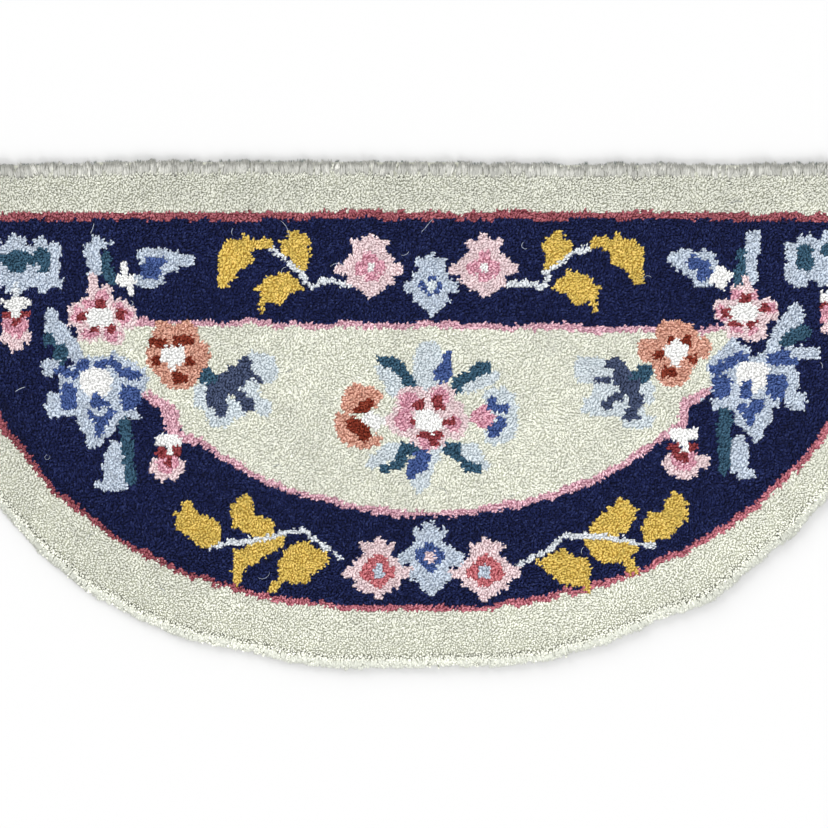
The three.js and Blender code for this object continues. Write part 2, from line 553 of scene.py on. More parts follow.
class CornerFlower(HandedMotif):
    """The big blue flower between the band and the field, with the leaf that rises from it."""

    left: ClassVar[list[Shape]] = [
        facet(
            Wool.IVORY,
            (104.5, 55.0), (106.0, 60.0), (116.0, 61.5), (116.0, 67.0), (106.0, 70.0), (97.5, 79.0),
            (92.0, 79.6), (94.8, 72.0), (96.4, 57.8),
        ),
        leaf(
            Wool.LIGHT_BLUE, 3.7,
            (125.4, 52.4), (125.0, 56.5), (121.4, 60.4), (117.6, 65.0), (116.6, 68.0),
        ),
        *blocks(Wool.TEAL, (123.8, 128.2, 58.8, 63.2), (119.6, 124.4, 62.4, 69.2)),
        *blocks(
            Wool.LIGHT_BLUE,
            (95.0, 122.5, 69.0, 87.4), (104.0, 118.0, 66.6, 74.0), (102.8, 116.0, 85.0, 92.2),
            (122.4, 127.8, 67.4, 73.2), (120.6, 127.0, 78.6, 86.8), (91.4, 98.0, 84.4, 87.8),
            (93.2, 98.0, 70.0, 80.0),
        ),
        *facets(
            Wool.LIGHT_BLUE,
            ((114.2, 91.0), (112.0, 96.8), (109.0, 96.8), (105.4, 92.0)),
            ((106.0, 64.0), (99.0, 67.4), (93.6, 72.6), (95.4, 78.0), (108.0, 74.0)),
        ),
        stem(Wool.ROYAL, 1.6, (122.2, 71.2), (117.4, 72.8), (114.6, 68.8)),
        stem(Wool.ROYAL, 1.6, (109.4, 69.3), (105.0, 68.2), (101.5, 71.5), (96.6, 73.5)),
        *spots(Wool.WHITE, (110.0, 75.2, 5.4, 5.2)),
        facet(Wool.ROYAL, (109.6, 77.6), (112.2, 81.8), (109.2, 84.4), (105.6, 81.8)),
        *blocks(Wool.ROYAL, (116.4, 121.7, 75.8, 84.7), (95.8, 102.2, 76.2, 84.2)),
        stem(Wool.ROYAL, 1.4, (112.0, 85.4), (108.8, 89.4), (108.9, 92.0)),
        stem(Wool.ROYAL, 1.4, (105.3, 85.0), (108.6, 89.2)),
    ]

    right: ClassVar[list[Shape]] = [
        facet(Wool.IVORY, (99.0, 57.6), (105.5, 58.8), (102.0, 63.0), (94.6, 72.0), (97.0, 58.0)),
        leaf(
            Wool.LIGHT_BLUE, 3.7,
            (123.6, 50.0), (122.2, 53.6), (119.4, 57.4), (116.8, 61.4), (116.0, 64.0),
        ),
        stem(Wool.TEAL, 2.5, (125.4, 59.0), (122.0, 60.8), (120.4, 61.6)),
        *blocks(
            Wool.LIGHT_BLUE,
            (95.0, 121.0, 66.0, 84.0), (110.4, 117.2, 61.8, 68.0), (101.0, 107.4, 61.8, 68.0),
            (118.4, 131.0, 63.4, 67.3), (118.6, 124.2, 70.0, 81.0), (119.6, 127.0, 78.6, 84.6),
            (102.6, 116.0, 82.0, 90.4), (91.4, 98.4, 80.8, 84.8),
        ),
        *facets(
            Wool.LIGHT_BLUE,
            ((113.4, 89.4), (111.8, 95.4), (109.0, 95.4), (104.4, 89.6)),
            ((103.6, 58.6), (98.4, 64.4), (92.8, 69.0), (95.4, 74.0), (108.0, 74.0), (108.0, 60.4)),
        ),
        *blocks(Wool.NAVY, (102.8, 108.2, 59.6, 62.3), (106.8, 113.4, 59.0, 65.0)),
        *blocks(Wool.ROYAL, (113.4, 121.2, 64.6, 69.2), (119.6, 124.2, 67.3, 69.8)),
        stem(Wool.ROYAL, 1.6, (106.4, 66.2), (101.2, 69.0), (96.6, 71.0)),
        *spots(Wool.WHITE, (108.6, 73.2, 5.6, 5.3)),
        *blocks(
            Wool.ROYAL,
            (104.8, 108.7, 74.4, 81.2), (113.4, 120.1, 72.8, 81.2), (95.4, 101.7, 72.8, 80.8),
            (103.8, 107.2, 82.2, 84.9), (108.4, 112.7, 80.8, 85.7), (105.8, 109.7, 83.8, 89.7),
        ),
    ]


class HangingLeaf(HandedMotif):
    """The leaf in pale blue and teal that hangs below the corner flower."""

    left: ClassVar[list[Shape]] = [
        stem(Wool.TEAL, 2.0, (100.6, 87.0), (99.6, 97.0), (99.0, 107.6)),
        *blocks(
            Wool.LIGHT_BLUE,
            (101.4, 105.9, 95.0, 101.0), (100.5, 107.6, 98.4, 109.0), (99.8, 110.2, 107.8, 111.4),
        ),
    ]

    right: ClassVar[list[Shape]] = [
        stem(Wool.TEAL, 2.1, (99.5, 85.0), (99.1, 104.4)),
        *blocks(
            Wool.LIGHT_BLUE,
            (101.8, 106.6, 92.8, 98.0), (100.9, 107.6, 95.0, 106.0), (103.8, 110.2, 104.2, 108.2),
        ),
    ]


class HangingBud(HandedMotif):
    """The small pink bud that hangs from the field's line into the band."""

    left: ClassVar[list[Shape]] = [
        facet(Wool.NAVY, (95.0, 81.0), (88.4, 83.4), (87.6, 92.6), (92.0, 92.6), (97.0, 84.0)),
        facet(Wool.IVORY, (82.6, 82.0), (82.0, 91.8), (76.5, 94.0), (70.0, 94.0), (74.0, 84.0)),
        facet(
            Wool.PINK_LINE,
            (94.0, 78.6), (87.6, 81.2), (83.0, 83.0), (82.4, 91.8), (76.5, 94.2), (76.5, 96.8),
            (86.6, 94.2), (87.4, 85.0), (94.0, 81.4),
        ),
        *blocks(Wool.PALE_PINK, (80.0, 92.6, 100.4, 106.0), (82.0, 90.6, 102.0, 108.4)),
        *blocks(Wool.ROSE, (82.8, 90.2, 98.6, 105.6)),
        *blocks(
            Wool.DARK_RED,
            (87.2, 90.2, 97.4, 100.3), (81.4, 84.9, 96.8, 99.8), (84.8, 87.2, 99.6, 103.2),
        ),
        *blocks(Wool.WHITE, (81.8, 90.5, 92.8, 97.2), (84.4, 86.9, 96.0, 99.7)),
    ]

    right: ClassVar[list[Shape]] = [
        facet(Wool.NAVY, (95.0, 80.6), (88.0, 83.4), (87.2, 91.0), (91.0, 91.0), (96.0, 84.0)),
        facet(
            Wool.PINK_LINE,
            (93.4, 77.2), (86.6, 80.8), (84.2, 82.4), (83.6, 90.4), (78.0, 93.4), (78.0, 95.8),
            (86.4, 93.4), (87.2, 84.2), (93.6, 80.0),
        ),
        *blocks(
            Wool.PALE_PINK,
            (79.4, 83.0, 99.8, 104.7), (89.6, 94.1, 99.8, 104.2), (80.6, 91.0, 98.5, 106.8),
        ),
        *blocks(Wool.ROSE, (81.6, 90.0, 97.2, 104.2)),
        *blocks(
            Wool.DARK_RED,
            (80.9, 84.6, 95.8, 98.4), (86.9, 90.2, 95.8, 98.8), (82.9, 87.6, 98.4, 101.8),
        ),
        *blocks(Wool.WHITE, (80.8, 90.7, 90.4, 95.2), (85.1, 87.3, 94.4, 98.8)),
    ]


class OrangeFlower(HandedMotif):
    """The field's orange flower: five lobes with brown-red marks round a white eye."""

    left: ClassVar[list[Shape]] = [
        *spots(
            Wool.ORANGE,
            (83.0, 66.0, 9.4, 9.4), (87.4, 58.6, 3.7, 4.2), (80.3, 58.4, 3.5, 4.2),
            (76.2, 66.0, 4.4, 5.0), (90.6, 66.6, 3.6, 4.8), (82.6, 73.0, 6.4, 4.4),
        ),
        *blocks(
            Wool.BROWN_RED,
            (86.8, 92.4, 59.8, 63.2), (85.8, 89.2, 62.2, 65.2), (77.8, 84.2, 59.8, 62.9),
            (80.6, 83.6, 61.6, 64.4), (88.3, 91.7, 66.3, 69.2), (77.3, 80.6, 66.8, 69.4),
            (79.3, 84.5, 71.8, 75.2),
        ),
        *blocks(Wool.WHITE, (80.4, 88.8, 63.0, 69.4), (82.8, 85.7, 68.0, 71.4)),
    ]

    right: ClassVar[list[Shape]] = [
        *spots(
            Wool.ORANGE,
            (82.6, 65.4, 8.6, 8.4), (83.0, 58.8, 7.2, 4.2), (74.0, 64.4, 4.3, 4.2),
            (90.8, 63.8, 4.2, 4.0), (81.8, 72.2, 5.4, 4.8),
        ),
        *blocks(
            Wool.BROWN_RED,
            (79.8, 82.7, 59.3, 64.2), (84.8, 88.2, 58.8, 63.7), (75.3, 79.4, 65.1, 68.2),
            (87.3, 91.2, 66.1, 68.9), (78.3, 83.7, 70.3, 74.0),
        ),
        *spots(Wool.WHITE, (83.3, 65.0, 4.6, 3.1), (83.6, 67.6, 1.6, 2.8), (83.0, 62.0, 1.4, 1.6)),
    ]


class SlateLeaf(HandedMotif):
    """The lobed slate leaf beside each orange flower, with pale-blue tips."""

    left: ClassVar[list[Shape]] = [
        *blocks(
            Wool.PALE_BLUE,
            (50.0, 60.4, 65.4, 75.2), (55.8, 62.0, 72.6, 81.2), (72.4, 77.2, 75.6, 84.2),
            (65.0, 75.2, 82.6, 90.2), (51.4, 57.0, 80.4, 86.2), (60.0, 68.0, 80.0, 87.0),
        ),
        stem(Wool.TEAL, 2.7, (75.0, 71.6), (70.0, 76.0)),
        *blocks(
            Wool.SLATE,
            (58.7, 63.0, 67.2, 71.4), (59.2, 66.8, 69.6, 74.8), (61.0, 69.6, 71.4, 77.4),
            (66.4, 73.2, 75.2, 83.4), (66.6, 70.4, 82.6, 86.2), (61.8, 66.6, 76.6, 79.4),
            (59.8, 63.4, 78.4, 82.2), (57.0, 61.2, 81.0, 85.4),
        ),
        stem(Wool.SLATE, 0.7, (58.6, 72.4), (55.6, 75.2)),
    ]

    right: ClassVar[list[Shape]] = [
        *blocks(
            Wool.PALE_BLUE,
            (49.8, 59.6, 66.4, 75.6), (55.4, 63.6, 70.4, 81.2), (52.2, 59.4, 80.0, 86.4),
            (58.6, 67.0, 83.8, 86.6), (72.0, 76.4, 74.6, 83.2), (65.4, 76.0, 86.0, 90.6),
            (69.4, 73.0, 82.6, 87.0), (61.5, 68.0, 75.6, 85.0),
        ),
        *blocks(Wool.TEAL, (70.6, 75.4, 69.4, 75.2), (67.8, 71.6, 71.8, 75.4)),
        *blocks(
            Wool.SLATE,
            (59.2, 66.4, 67.4, 70.8), (62.0, 65.0, 66.2, 69.0), (62.8, 68.6, 70.0, 76.8),
            (56.2, 60.0, 73.0, 75.6), (59.0, 63.6, 73.2, 74.8), (65.0, 72.4, 74.6, 80.0),
            (67.8, 72.4, 78.8, 84.0), (66.4, 71.0, 83.2, 88.0), (60.8, 66.0, 78.8, 81.8),
            (58.6, 63.2, 81.4, 84.8),
        ),
    ]


VINE_WIDTH = 0.95


def vine(*line: Point) -> Blade:
    """Make a thin vine along a bent line."""
    return stem(Wool.VINE, VINE_WIDTH, *line)


def upper_gold_leaves(outer: float, lower: float) -> list[Shape]:
    """Lay out the upper sprig's leaves, which the two sides share but for their places.

    Args:
        outer: How far outward the outer leaf lies.
        lower: How far outward the lower leaf lies.

    Returns:
        The leaves.
    """
    return [
        *facets(
            Wool.GOLD,
            moved(
                outer, (66.2, 27.6), (58.4, 27.4), (57.4, 34.6), (60.5, 37.2), (66.0, 38.7),
                (69.4, 37.0), (69.4, 32.4),
            ),
            moved(outer, (69.4, 35.8), (63.2, 38.2), (65.8, 42.8), (69.6, 43.2)),
            (
                (48.8, 27.4), (45.4, 27.4), (44.8, 24.2), (41.0, 25.6), (38.8, 28.0), (39.8, 37.6),
                (41.6, 37.2), (48.2, 32.0),
            ),
            moved(
                lower, (53.2, 39.6), (45.5, 38.0), (40.0, 43.6), (44.8, 45.7), (48.4, 49.2),
                (54.4, 48.2), (55.6, 43.4),
            ),
        ),
        stem(Wool.GOLD, 1.7, *moved(outer, (60.0, 29.3), (52.8, 28.8))),
        stem(Wool.GOLD, 1.2, *moved(lower, (54.4, 46.0), (54.8, 50.8))),
        *spots(
            Wool.GOLD,
            (60.4 + outer, 27.0, 1.4, 1.4), (44.0, 25.4, 1.9, 1.7), (56.0 + lower, 43.8, 1.4, 1.2),
        ),
    ]


class GoldSprigs(HandedMotif):
    """The gold-leaved sprigs of the band, two on each side, on thin pale vines."""

    left: ClassVar[list[Shape]] = [
        vine(
            (51.8, 30.8), (50.0, 32.0), (48.0, 32.6), (47.4, 34.5), (45.0, 36.0), (43.0, 37.5),
            (41.2, 39.0), (40.0, 41.5), (38.0, 43.4), (36.0, 42.6), (34.0, 41.6), (24.3, 42.7),
        ),
        *upper_gold_leaves(0.0, 0.0),
        vine(
            (72.0, 130.3), (66.7, 129.0), (58.0, 127.7), (50.3, 126.0), (45.0, 124.6), (40.7, 124.7),
            (37.3, 127.7), (31.7, 131.0), (28.3, 134.0),
        ),
        *facets(
            Wool.GOLD,
            (
                (84.0, 118.6), (83.4, 124.4), (80.0, 127.2), (73.5, 131.0), (68.8, 128.4),
                (68.8, 122.4), (72.0, 120.0), (77.6, 117.8),
            ),
            ((82.0, 119.6), (80.4, 114.4), (77.6, 115.0), (76.6, 119.6)),
            ((65.0, 115.8), (60.5, 112.5), (58.0, 113.8), (57.8, 118.2), (61.0, 124.2), (64.6, 123.6)),
            ((60.4, 117.6), (55.0, 119.3), (50.2, 121.3), (50.8, 125.4), (55.5, 126.5), (62.8, 124.2)),
            (
                (47.2, 126.8), (47.0, 130.0), (53.0, 132.7), (58.5, 136.7), (62.0, 139.4),
                (64.4, 138.2), (64.2, 130.8), (60.0, 129.2), (54.0, 127.8),
            ),
            (
                (46.2, 130.8), (42.0, 129.2), (38.4, 129.3), (32.8, 132.8), (31.8, 135.7),
                (36.0, 137.7), (40.0, 142.8), (44.0, 143.3), (49.3, 141.2), (49.2, 135.8),
            ),
        ),
        stem(Wool.GOLD, 1.5, (63.4, 137.6), (63.2, 141.6)),
        stem(Wool.GOLD, 1.3, (48.6, 141.4), (50.8, 144.2)),
    ]

    right: ClassVar[list[Shape]] = [
        vine(
            (55.5, 29.8), (53.0, 31.5), (50.0, 31.7), (48.0, 33.5), (44.5, 35.5), (42.5, 36.2),
            (39.2, 38.2), (40.6, 40.6), (38.2, 43.4), (36.0, 42.0), (24.5, 42.6),
        ),
        *upper_gold_leaves(3.5, 1.3),
        *facets(
            Wool.GOLD,
            ((81.8, 111.0), (85.2, 112.8), (87.2, 115.0), (87.0, 121.2), (82.0, 124.7), (77.8, 118.5)),
            (
                (74.0, 118.2), (78.5, 117.8), (84.2, 121.5), (83.7, 124.7), (80.8, 127.8),
                (72.8, 128.6), (72.2, 122.0),
            ),
            (
                (64.5, 113.0), (69.8, 116.4), (70.3, 119.9), (66.6, 125.8), (63.0, 126.8),
                (55.3, 126.2), (55.6, 122.2), (60.4, 117.8),
            ),
            (
                (52.8, 127.6), (56.0, 126.3), (64.0, 127.8), (70.8, 130.4), (68.7, 134.3),
                (64.0, 135.8), (58.0, 134.7), (55.3, 132.6),
            ),
            ((64.0, 133.8), (69.2, 133.3), (70.9, 138.6), (68.2, 138.8)),
            (
                (45.0, 130.2), (49.0, 132.8), (54.3, 133.8), (54.0, 143.7), (46.0, 143.3),
                (40.5, 139.3), (36.2, 135.6), (41.0, 133.3),
            ),
        ),
        stem(Wool.GOLD, 1.2, (53.4, 142.0), (53.8, 144.0)),
        vine(
            (30.0, 136.5), (33.5, 135.0), (37.0, 133.0), (40.0, 131.5), (43.5, 128.5), (46.0, 126.5),
            (53.0, 126.4), (60.0, 126.6), (65.0, 128.0), (71.0, 129.4), (75.5, 129.6),
        ),
    ]


class MiddleSpray:
    """The field's spray: leaf pairs, an orange bud and a small blue flower round a pink flower."""

    leaves: ClassVar[list[Shape]] = [
        *facets(
            Wool.PALE_BLUE,
            ((-18.4, 68.2), (-10.4, 71.4), (-5.4, 76.6), (-8.0, 80.2), (-12.6, 79.2), (-15.0, 75.0)),
            ((-2.6, 61.6), (3.4, 62.0), (5.2, 66.0), (5.0, 78.0), (-3.6, 78.0), (-4.2, 68.0)),
            ((13.0, 75.4), (21.0, 72.0), (24.8, 70.8), (24.0, 74.2), (19.4, 77.4), (11.6, 80.0)),
            ((-7.4, 95.2), (-13.4, 95.6), (-21.0, 102.6), (-18.6, 104.2), (-8.4, 100.0)),
            (
                (-2.0, 96.4), (5.0, 96.4), (4.6, 101.4), (1.6, 105.4), (1.0, 110.0), (-2.4, 113.2),
                (-5.2, 109.4), (-5.4, 105.4),
            ),
            ((11.0, 95.4), (17.0, 95.6), (18.8, 100.2), (21.6, 103.2), (19.0, 104.8), (11.4, 100.0)),
        ),
        *facets(
            Wool.TEAL,
            (
                (-16.8, 66.2), (-12.0, 65.6), (-7.2, 69.2), (-2.8, 75.6), (-6.8, 76.6), (-10.8, 71.6),
                (-16.4, 68.8),
            ),
            (
                (8.4, 79.2), (8.8, 74.2), (13.4, 71.8), (16.2, 68.4), (21.6, 69.0), (21.0, 71.8),
                (12.6, 76.2), (12.0, 79.2),
            ),
            (
                (-8.0, 95.2), (-2.0, 94.8), (-1.4, 98.0), (-5.8, 99.8), (-8.4, 103.6), (-15.4, 105.6),
                (-15.8, 102.6), (-10.6, 101.4),
            ),
            (
                (5.0, 95.8), (10.9, 95.2), (11.5, 99.2), (14.2, 101.4), (18.2, 102.5), (18.2, 105.2),
                (13.4, 105.2), (10.6, 101.2), (6.0, 99.6),
            ),
        ),
        *blocks(Wool.ROYAL, (4.8, 8.5, 64.8, 70.0), (2.8, 8.7, 68.8, 75.2)),
        *blocks(
            Wool.ROYAL,
            (-4.0, 1.3, 97.0, 102.6), (-6.4, 0.8, 101.0, 105.8), (-6.4, -3.2, 104.4, 107.4),
        ),
    ]

    orange_bud: ClassVar[list[Shape]] = [
        *facets(
            Wool.ORANGE,
            (
                (-29.4, 81.8), (-27.2, 77.0), (-23.2, 75.4), (-18.6, 76.2), (-15.2, 79.4),
                (-15.2, 83.0), (-20.8, 84.8), (-26.4, 86.0),
            ),
            (
                (-30.0, 86.2), (-25.6, 85.6), (-22.0, 91.6), (-14.6, 93.0), (-15.2, 95.8),
                (-20.8, 97.2), (-27.6, 95.8), (-30.2, 91.6),
            ),
        ),
        *blocks(Wool.BROWN_RED, (-22.8, -18.4, 80.6, 84.0), (-25.0, -18.4, 82.8, 85.6)),
        facet(
            Wool.BROWN_RED,
            (-26.2, 87.4), (-23.6, 86.8), (-18.4, 90.8), (-17.8, 93.4), (-20.8, 95.2), (-23.6, 92.0),
            (-26.2, 90.8),
        ),
        facet(
            Wool.WHITE,
            (-22.4, 86.6), (-18.8, 84.8), (-13.8, 86.4), (-13.2, 89.4), (-17.0, 90.8), (-20.4, 89.4),
        ),
    ]

    small_flower: ClassVar[list[Shape]] = [
        *spots(Wool.PALE_BLUE, (25.0, 86.4, 5.9, 9.4), (22.6, 80.0, 3.4, 2.8), (22.4, 93.4, 3.4, 2.8)),
        facet(
            Wool.ROSE,
            (12.8, 87.6), (18.0, 83.6), (20.4, 82.2), (21.4, 85.4), (23.4, 87.2), (21.2, 92.0),
            (18.0, 90.6),
        ),
        *blocks(
            Wool.ROYAL,
            (20.8, 23.2, 80.3, 84.2), (20.8, 28.0, 82.6, 85.4), (23.4, 27.2, 87.0, 91.0),
            (20.2, 25.0, 89.1, 94.0),
        ),
    ]

    pink_flower: ClassVar[list[Shape]] = [
        *spots(
            Wool.PALE_PINK,
            (0.5, 87.0, 9.0, 8.0), (-4.6, 81.0, 5.6, 5.2), (5.2, 80.8, 5.0, 5.0),
            (-8.0, 88.2, 5.2, 5.4), (9.0, 88.0, 4.6, 6.4), (0.6, 93.8, 6.2, 4.2),
        ),
        *spots(
            Wool.ROSE,
            (-5.2, 81.4, 3.6, 3.6), (4.9, 80.6, 3.2, 3.4), (-7.2, 88.0, 3.2, 3.6),
            (8.8, 88.8, 2.8, 2.8), (0.4, 95.0, 3.6, 2.4),
        ),
        *blocks(
            Wool.DARK_RED,
            (-4.0, -0.3, 80.5, 84.8), (2.3, 6.2, 79.8, 84.8), (-5.4, -2.1, 86.5, 89.7),
            (5.1, 9.7, 86.8, 89.4), (-3.2, 5.2, 91.0, 93.9), (0.3, 3.7, 93.3, 96.2),
        ),
        *blocks(Wool.WHITE, (-3.6, 5.1, 84.7, 91.7)),
    ]

    def shapes(self, side: Side) -> list[Shape]:
        """Lay out the spray, whose places run from the middle line to the right.

        Args:
            side: The half it is charted in; not used.

        Returns:
            Its patches.
        """
        return [*self.leaves, *self.orange_bud, *self.small_flower, *self.pink_flower]


@dataclass(frozen=True)
class Placing:
    """A motif put in one half of the chart, moved outward and down, and mirrored past a fold, in knots."""

    motif: Motif
    side: Side
    out: float = 0.0
    down: float = 0.0
    fold: float = math.inf
    far_squeeze: float = 1.15

    def local(self, x: Array, y: Array) -> tuple[Array, Array]:
        """Turn places in the chart into the motif's own.

        Args:
            x: Knots right of the middle line.
            y: Knots down from the straight edge.

        Returns:
            Knots outward and down from the motif's origin.
        """
        out = self.side.value * x - self.out
        past = np.maximum(out - self.fold, 0.0)
        return np.minimum(out, self.fold) - past * self.far_squeeze, y - self.down


def pair(motif: HandedMotif, left_fold: float = math.inf, right_fold: float = math.inf) -> list[Placing]:
    """Put a motif in both halves of the chart."""
    return [Placing(motif, Side.LEFT, fold=left_fold), Placing(motif, Side.RIGHT, fold=right_fold)]


def layout() -> list[Placing]:
    """Give all the motifs, those underneath first.

    Returns:
        The motifs with their places.
    """
    pink_star = StarFlower(Wool.PALE_PINK, Wool.ROSE, Wool.WHITE, ring_size=5.2, eye_size=1.5)
    red_star = StarFlower(
        Wool.PALE_PINK, Wool.CORAL_RED, Wool.LIGHT_BLUE, ring_size=5.7, eye_size=2.2, ring_fill=1.05
    )
    blue_star = StarFlower(
        Wool.LIGHT_BLUE, Wool.ROYAL, Wool.PALE_BLUE,
        half_width=9.4, down=10.0, ring_size=4.0, eye_size=2.1, ring_fill=0.6,
    )
    low_star = StarFlower(
        Wool.LIGHT_BLUE, Wool.ROYAL, Wool.PALE_PINK,
        half_width=10.4, up=11.2, down=12.8, ring_size=4.7, ring_fill=1.1,
    )
    return [
        *pair(SlateLeaf()),
        *pair(OrangeFlower()),
        Placing(MiddleSpray(), Side.RIGHT),
        *pair(EndFlower(), 137.0, 135.5),
        *pair(UprightLeaf()),
        *pair(BlueBud()),
        *pair(HangingLeaf()),
        *pair(CornerFlower()),
        *pair(HangingBud()),
        *pair(CornerPink()),
        *pair(GoldSprigs()),
        Placing(pink_star, Side.LEFT, out=18.7, down=36.9),
        Placing(pink_star, Side.RIGHT, out=19.3, down=36.9),
        Placing(blue_star, Side.RIGHT, out=1.6, down=43.1),
        Placing(red_star, Side.LEFT, out=16.1, down=138.2),
        Placing(red_star, Side.RIGHT, out=19.6, down=138.2),
        Placing(low_star, Side.RIGHT, out=1.4, down=133.3),
    ]


@dataclass
class KnotChart:
    """The carpet's chart: grounds, guard lines and motifs, in knots from the straight edge's middle."""

    outer_line: HalfRound = HalfRound(158.0, 18.1, 133.8, 2.33, 2.08, bow=1.3)
    band: HalfRound = HalfRound(155.5, 20.7, 129.4, 2.32, 2.05, bow=1.3)
    inner_line: HalfRound = HalfRound(103.4, 55.5, 64.8, 1.87, 1.85, tilt=0.012)
    field_ground: HalfRound = HalfRound(100.5, 57.5, 60.6, 1.85, 1.8, tilt=0.012)
    paler_from: float = 60.0
    jitter: float = 0.3
    drift: float = 0.5
    drift_patch: float = 7.0
    wander: float = 0.7
    wander_patch: float = 5.0

    def wools(self, x: Array, y: Array, rng: np.random.Generator) -> Array:
        """Choose the wool of every knot.

        Args:
            x: Knots right of the middle line.
            y: Knots down from the straight edge.
            rng: Source of the hand's unevenness.

        Returns:
            The place of each knot's wool in WOOLS.
        """
        sway_x = (smooth_noise(x, y, self.drift_patch, rng) - 0.5) * 2.0 * self.drift
        sway_y = (smooth_noise(x, y, self.drift_patch, rng) - 0.5) * 2.0 * self.drift
        x = x + sway_x + rng.uniform(-self.jitter, self.jitter, x.shape)
        y = y + sway_y + rng.uniform(-self.jitter, self.jitter, y.shape)
        chosen = np.full(x.shape, WOOLS.index(Wool.IVORY))
        line_x = x + (smooth_noise(x, y, self.wander_patch, rng) - 0.5) * 2.0 * self.wander
        line_y = y + (smooth_noise(x, y, self.wander_patch, rng) - 0.5) * 2.0 * self.wander
        rose = self.outer_line.covers(line_x, line_y)
        chosen[rose] = WOOLS.index(Wool.ROSE_LINE)
        # The rose line is paler below its upper part, all but at the far left.
        chosen[rose & (y > self.paler_from) & (x > -self.paler_from)] = WOOLS.index(Wool.FADED_ROSE)
        chosen[self.band.covers(line_x, line_y)] = WOOLS.index(Wool.NAVY)
        chosen[self.inner_line.covers(line_x, line_y)] = WOOLS.index(Wool.PINK_LINE)
        chosen[self.field_ground.covers(line_x, line_y)] = WOOLS.index(Wool.IVORY)
        for placing in layout():
            out, down = placing.local(x, y)
            for shape in placing.motif.shapes(placing.side):
                chosen[shape.covers(out, down)] = WOOLS.index(shape.wool)
        return chosen


@dataclass
class RimLine:
    """The carpet's outline in metres, read from the widest ring of its solid."""

    x: Array
    y: Array

    ring_tolerance = 0.05 * MM

    @classmethod
    def of_solid(cls, node: bpy.types.Object) -> RimLine:
        """Read the ring of points halfway up the solid, in order round it.

        Args:
            node: The carpet's solid.

        Returns:
            Its outline.
        """
        points = read_places(node.data.vertices, "co")
        halfway = 0.5 * (points[:, 2].min() + points[:, 2].max())
        ring = points[np.abs(points[:, 2] - halfway) < cls.ring_tolerance]
        ring = np.unique(np.round(ring[:, :2], decimals=6), axis=0)
        order = np.argsort(np.arctan2(ring[:, 1], ring[:, 0]))
        return cls(ring[order, 0], ring[order, 1])

    def inset(self, x: Array, y: Array) -> tuple[Array, Array, Array]:
        """Measure how far inside the outline places lie.

        Args:
            x: Places across.
            y: Places along.

        Returns:
            The distance inside, negative outside, and the outward direction of the nearest edge.
        """
        best = np.full(x.shape, np.inf)
        out_x = np.zeros(x.shape)
        out_y = np.zeros(x.shape)
        for x0, y0, x1, y1 in zip(self.x, self.y, np.roll(self.x, -1), np.roll(self.y, -1)):
            run_x, run_y = x1 - x0, y1 - y0
            length = math.hypot(run_x, run_y)
            along = np.clip(((x - x0) * run_x + (y - y0) * run_y) / length**2, 0.0, 1.0)
            gap = np.hypot(x - x0 - along * run_x, y - y0 - along * run_y)
            nearer = gap < best
            best[nearer] = gap[nearer]
            out_x[nearer] = run_y / length
            out_y[nearer] = -run_x / length
        inside = inside_corners(x, y, list(zip(self.x, self.y)))
        return np.where(inside, best, -best), out_x, out_y

    def walk(self, spacing: float) -> Places:
        """Give evenly spaced places round the outline.

        Args:
            spacing: Distance between places.

        Returns:
            Places across and along.
        """
        x = np.append(self.x, self.x[0])
        y = np.append(self.y, self.y[0])
        reach = np.concatenate(([0.0], np.cumsum(np.hypot(np.diff(x), np.diff(y)))))
        places = np.arange(0.0, reach[-1], spacing)
        return np.interp(places, reach, x), np.interp(places, reach, y)

    def area(self) -> float:
        """Work out the area inside the outline."""
        return 0.5 * abs(float(np.sum(self.x * np.roll(self.y, -1) - np.roll(self.x, -1) * self.y)))


Value = bpy.types.NodeSocket | float
Span = tuple[float, float, float, float]
WAVE_STEP = 20.0


